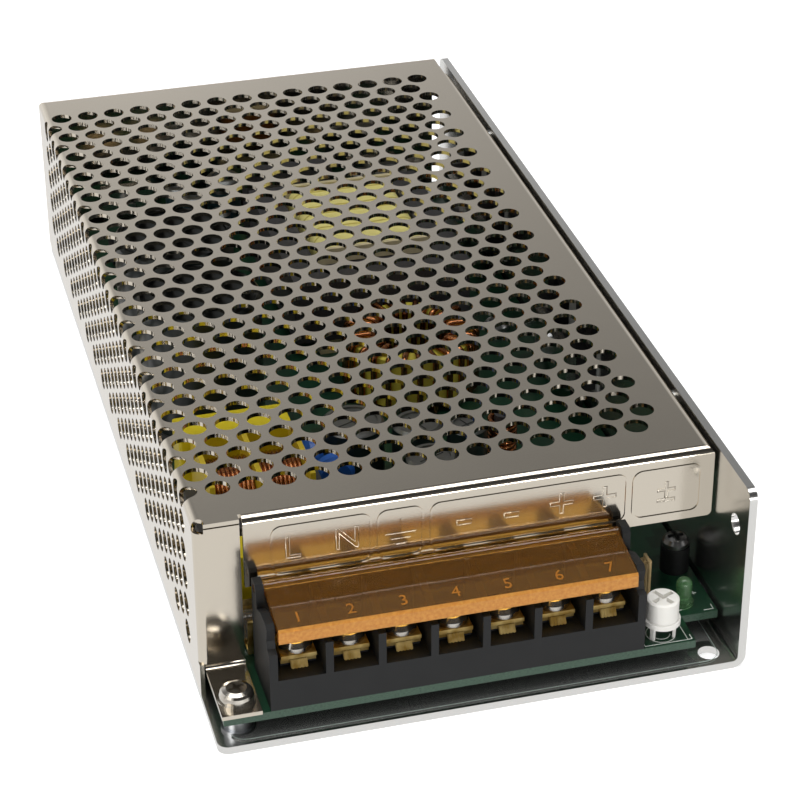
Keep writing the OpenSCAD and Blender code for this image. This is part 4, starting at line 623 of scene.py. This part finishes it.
def print_board(ink):
    """White outlines printed on the board round the adjuster, the lamp and the block's corners."""
    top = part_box("circuit_board")[1].z
    half_line, sunk = 0.1 * MM, 0.03 * MM
    adjuster, lamp = (34.2, -94.4), (40.3, -85.9)
    drawn = []

    def outline(points, closed=False):
        line = stroke([(x * MM, y * MM, 0) for x, y in points], half_line, closed)
        drawn.append(settle(line, Matrix.Translation((0, 0, top - sunk))))

    def ring(middle, radius, start=0, stop=360, steps=28):
        angles = [math.radians(start + (stop - start) * i / steps) for i in range(steps + 1)]
        outline([(middle[0] + radius * math.cos(a), middle[1] + radius * math.sin(a)) for a in angles])

    outline([(30.2, -90.6), (38.4, -90.6), (38.4, -97.4), (30.2, -97.4)], True)
    ring(adjuster, 2.7)
    ring(adjuster, 1.7, 200, 340)
    ring(lamp, 2.6)
    # The lamp's polarity bar, the board's corner marks and the small parts' marks behind the block.
    outline([(36.9, -86.9), (38.2, -86.4)])
    outline([(44.4, -89.6), (46.3, -89.6), (46.3, -88.2)])
    outline([(37.2, -97.4), (39.2, -97.4), (39.2, -96.0)])
    outline([(31.0, -76.4), (31.0, -78.0), (37.4, -78.0)])
    outline([(44.0, -84.0), (45.0, -84.0)])
    outline([(44.5, -83.5), (44.5, -84.5)])
    outline([(30.4, -87.6), (32.0, -87.6)])
    outline([(30.6, -84.6), (33.0, -84.6)])
    for way in range(7):
        dash = -30 + 9.5 * way
        outline([(dash, -97.75), (dash + 0.8, -97.75)])
    joined("board_print", drawn, ink)


# ---- windings ---------------------------------------------------------------------------------

def winding_tree(name, round_ring):
    """Geometry Nodes that repeat one turn of wire along a former or round a ring."""
    tree = bpy.data.node_groups.new(name, "GeometryNodeTree")
    tree.interface.new_socket("Turns", in_out="INPUT", socket_type="NodeSocketInt")
    for label in ("Spacing", "Turn Width", "Turn Height", "Turn Corner", "Wire Radius"):
        tree.interface.new_socket(label, in_out="INPUT", socket_type="NodeSocketFloat")
    tree.interface.new_socket("Finish", in_out="INPUT", socket_type="NodeSocketMaterial")
    tree.interface.new_socket("Geometry", in_out="OUTPUT", socket_type="NodeSocketGeometry")
    given = add(tree, "NodeGroupInput").outputs
    frame_curve = add(tree, "GeometryNodeCurvePrimitiveQuadrilateral", {
        "Width": given["Turn Width"], "Height": given["Turn Height"]}).outputs[0]
    turn = add(tree, "GeometryNodeFilletCurve", {
        "Curve": frame_curve, "Radius": given["Turn Corner"], "Count": 6}, mode="POLY")
    wire = add(tree, "GeometryNodeCurvePrimitiveCircle", {"Radius": given["Wire Radius"], "Resolution": 8})
    loop = add(tree, "GeometryNodeCurveToMesh", {
        "Curve": turn.outputs[0], "Profile Curve": wire.outputs[0]})
    if round_ring:
        points = add(tree, "GeometryNodeMeshCircle", {
            "Vertices": given["Turns"], "Radius": given["Spacing"]})
        index = add(tree, "GeometryNodeInputIndex").outputs[0]
        share = add(tree, "ShaderNodeMath", {0: index, 1: given["Turns"]}, operation="DIVIDE").outputs[0]
        angle = add(tree, "ShaderNodeMath", {0: share, 1: 2 * math.pi}, operation="MULTIPLY").outputs[0]
        turned = add(tree, "ShaderNodeCombineXYZ", {"X": math.pi / 2, "Z": angle}).outputs[0]
    else:
        step = add(tree, "ShaderNodeCombineXYZ", {"Z": given["Spacing"]}).outputs[0]
        points = add(tree, "GeometryNodeMeshLine", {"Count": given["Turns"], "Offset": step})
        turned = add(tree, "ShaderNodeCombineXYZ", {}).outputs[0]
    repeated = add(tree, "GeometryNodeInstanceOnPoints", {
        "Points": points.outputs[0], "Instance": loop.outputs[0], "Rotation": turned})
    real = add(tree, "GeometryNodeRealizeInstances", {"Geometry": repeated.outputs[0]})
    done = add(tree, "GeometryNodeSetMaterial", {"Geometry": real.outputs[0], "Material": given["Finish"]})
    add(tree, "NodeGroupOutput", {"Geometry": done.outputs[0]})
    return tree


def wound(tree, finish, place, **sizes):
    """The mesh a winding tree makes with these sizes, in its place."""
    blank = bpy.data.objects.new("former", bpy.data.meshes.new("former"))
    scene.collection.objects.link(blank)
    turns = blank.modifiers.new("turns", "NODES")
    turns.node_group = tree
    named = {item.name: item.identifier for item in tree.interface.items_tree
             if item.item_type == "SOCKET" and item.in_out == "INPUT"}
    turns[named["Finish"]] = finish
    for label, value in sizes.items():
        turns[named[label.replace("_", " ").title()]] = value
    return settle(blank, place)


def wind_ring_choke(tree, copper):
    """Turns of thick wire round the output choke's ring."""
    low_corner, high_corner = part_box("output_choke_coil")
    reach = (high_corner.x - low_corner.x) / 2
    wire, width, corner = 0.68 * MM, 7.2 * MM, 1.0 * MM
    place = Matrix.Translation((low_corner + high_corner) / 2)
    mesh = wound(tree, copper, place, turns=26, spacing=reach - width / 2,
                 turn_width=width - 2 * wire, turn_height=high_corner.z - low_corner.z - 2 * wire,
                 turn_corner=corner, wire_radius=wire)
    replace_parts(finished_piece("ring_choke_turns", mesh, copper), "output_choke_coil")


def wind_former(tree, copper, place, length, radius, wire, count, swell=1.0):
    """Round turns along a former, from one end's place; swell closes the gaps between them."""
    return wound(tree, copper, place, turns=count, spacing=(length - 2 * wire) / (count - 1),
                 turn_width=2 * (radius - wire), turn_height=2 * (radius - wire),
                 turn_corner=(radius - wire) * 0.98, wire_radius=wire * swell)


def wind_line_choke(tree, copper):
    """The mains choke's two coils, one at each end of its bobbin."""
    low_corner, high_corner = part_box("choke_coils")
    middle = (low_corner + high_corner) / 2
    radius = (high_corner.z - low_corner.z) / 2
    length, wire = 8.3 * MM, 0.45 * MM
    halves = []
    for start in (low_corner.x, high_corner.x - length):
        place = (Matrix.Translation((start + wire, middle.y, middle.z))
                 @ Matrix.Rotation(math.radians(90), 4, "Y"))
        halves.append(wind_former(tree, copper, place, length, radius, wire, 10, 1.04))
    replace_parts(joined("line_choke_turns", halves, copper), "choke_coils")


def wind_rod_choke(tree, copper):
    """The upright rod choke's single coil."""
    low_corner, high_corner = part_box("rod_choke_coil")
    middle = (low_corner + high_corner) / 2
    radius = (high_corner.x - low_corner.x) / 2
    wire = 0.5 * MM
    place = Matrix.Translation((middle.x, middle.y, low_corner.z + wire))
    mesh = wind_former(tree, copper, place, high_corner.z - low_corner.z, radius, wire, 14)
    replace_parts(finished_piece("rod_choke_turns", mesh, copper), "rod_choke_coil")


# ---- screws and small parts ---------------------------------------------------------------------

def cross_screw(name, node, plate, head_d, head_h, seat, washer=0.0):
    """Pan-head screw with a cross recess, standing where its plain node stands."""
    low_corner, high_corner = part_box(node)
    x, y = (low_corner.x + high_corner.x) / 2, (low_corner.y + high_corner.y) / 2
    r, h = head_d / 2, head_h
    shank_r, washer_r = 1.45 * MM, 3.4 * MM
    profile = [(0, low_corner.z - seat), (shank_r, low_corner.z - seat), (shank_r, -washer)]
    if washer:
        profile += [(washer_r, -washer), (washer_r, 0)]
    profile += [(r, 0), (r, 0.35 * h), (0.95 * r, 0.62 * h), (0.84 * r, 0.82 * h),
                (0.6 * r, 0.96 * h), (0, h)]
    screw = bpy.data.objects.new("screw", lathe(profile))
    scene.collection.objects.link(screw)
    bars = []
    arm = (0.98 * r, 0.2 * r, 1.2 * h)
    for turn in (0.35, 0.35 + math.pi / 2):
        bar = bpy.data.objects.new("cutter", box_mesh(arm, turn, (0, 0, 1.05 * h)))
        scene.collection.objects.link(bar)
        bars.append(bar)
        cut = screw.modifiers.new("recess", "BOOLEAN")
        cut.operation, cut.object, cut.solver = "DIFFERENCE", bar, "EXACT"
    mesh = settle(screw, Matrix.Translation((x, y, seat)))
    for bar in bars:
        bpy.data.objects.remove(bar)
    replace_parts(finished_piece(name, mesh, plate), node)


def close_hinge(amber):
    """The flap's fixed hinge strip, round-topped, on the block's rear wall behind the ridge."""
    block_left, block_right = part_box("terminal_block")
    end_wall = 1.8 * MM
    foot, back, deep, tall, crown = 23.21 * MM, -84.25 * MM, 1.0 * MM, 1.3 * MM, 0.4 * MM
    profile = [(back - deep, foot), (back, foot)]
    for centre, start in ((back - crown, 0), (back - deep + crown, 90)):
        profile += [(centre + crown * math.cos(math.radians(start + 18 * step)),
                     foot + tall - crown + crown * math.sin(math.radians(start + 18 * step)))
                    for step in range(6)]
    shape = bmesh.new()
    left_end = [shape.verts.new((block_left.x + end_wall, y, z)) for y, z in profile]
    right_end = [shape.verts.new((block_right.x - end_wall, y, z)) for y, z in profile]
    shape.faces.new(left_end)
    shape.faces.new(right_end)
    for i in range(len(profile)):
        shape.faces.new((left_end[i - 1], left_end[i], right_end[i], right_end[i - 1]))
    bmesh.ops.recalc_face_normals(shape, faces=shape.faces)
    strip = bpy.data.meshes.new("strip")
    shape.to_mesh(strip)
    shape.free()
    finished_piece("hinge_strip", strip, amber)


def edge_film(bright):
    """The cut edge of the insulating film, drawn as a pale wire all round: a painted highlight where the
    edge catches the light.
    """
    low_corner, high_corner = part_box("insulation_sheet")
    corner, inset = 3.0 * MM, 0.08 * MM
    middle = (low_corner + high_corner) / 2
    half_x = (high_corner.x - low_corner.x) / 2 - inset - corner
    half_y = (high_corner.y - low_corner.y) / 2 - inset - corner
    around = []
    for quarter, (sx, sy) in enumerate(((1, 1), (-1, 1), (-1, -1), (1, -1))):
        for step in range(7):
            angle = math.radians(90 * quarter + 15 * step)
            around.append((middle.x + sx * half_x + corner * math.cos(angle),
                           middle.y + sy * half_y + corner * math.sin(angle), 0))
    mesh = settle(stroke(around, 0.07 * MM, True), Matrix.Translation((0, 0, high_corner.z - 0.05 * MM)))
    finished_piece("film_edge", mesh, bright)


def score_lids(dark):
    """Vent scores pressed across the capacitors' lids, drawn as thin dark strips: painted shade in the
    grooves.
    """
    # Each lid's x, y, height and diameter in mm: the two bulk cans, then the four output cans.
    lids = [(-31, 28, 36.2, 25), (-31, 1, 36.2, 25), (-7.5, -31.5, 21.6, 12.5), (4.5, -35.5, 21.6, 10),
            (3.9, -48.2, 21.6, 10), (13.8, -38.5, 21.6, 8)]
    scores = []
    for x, y, z, d in lids:
        for turn in (0.4, 0.4 + math.pi / 2):
            mesh = box_mesh((0.55 * d * MM, 0.25 * MM, 0.06 * MM), turn)
            mesh.transform(Matrix.Translation((x * MM, y * MM, (z + 0.03) * MM)))
            scores.append(mesh)
    joined("vent_scores", scores, dark)


place_camera()
light_studio()
lay_floor()
looks = dress_nodes()
stamp_lip(looks["cover"])
number_flap(moulded_plastic("pale_ink", "#FFFBE4", 0.5), math.radians(10))
print_board(moulded_plastic("white_ink", "#D5DAD3", 0.5))
wind_ring_choke(winding_tree("turns_round_a_ring", True), looks["output_choke_coil"])
along_former = winding_tree("turns_along_a_former", False)
wind_line_choke(along_former, looks["choke_coils"])
wind_rod_choke(along_former, looks["rod_choke_coil"])
cross_screw("foot_screw_head", "foot_screw", looks["foot_screw"], 6.2 * MM, 2.2 * MM, 7.9 * MM, 0.5 * MM)
close_hinge(looks["flap"])
# The film's pale edge wire is a painted highlight.
edge_film(moulded_plastic("film_edge_painted_highlight", "#9FAFA6", 0.4))
score_lids(moulded_plastic("score_shadow", "#242625", 0.5))
scene.view_settings.view_transform = "Standard"
bpy.context.view_layer.update()
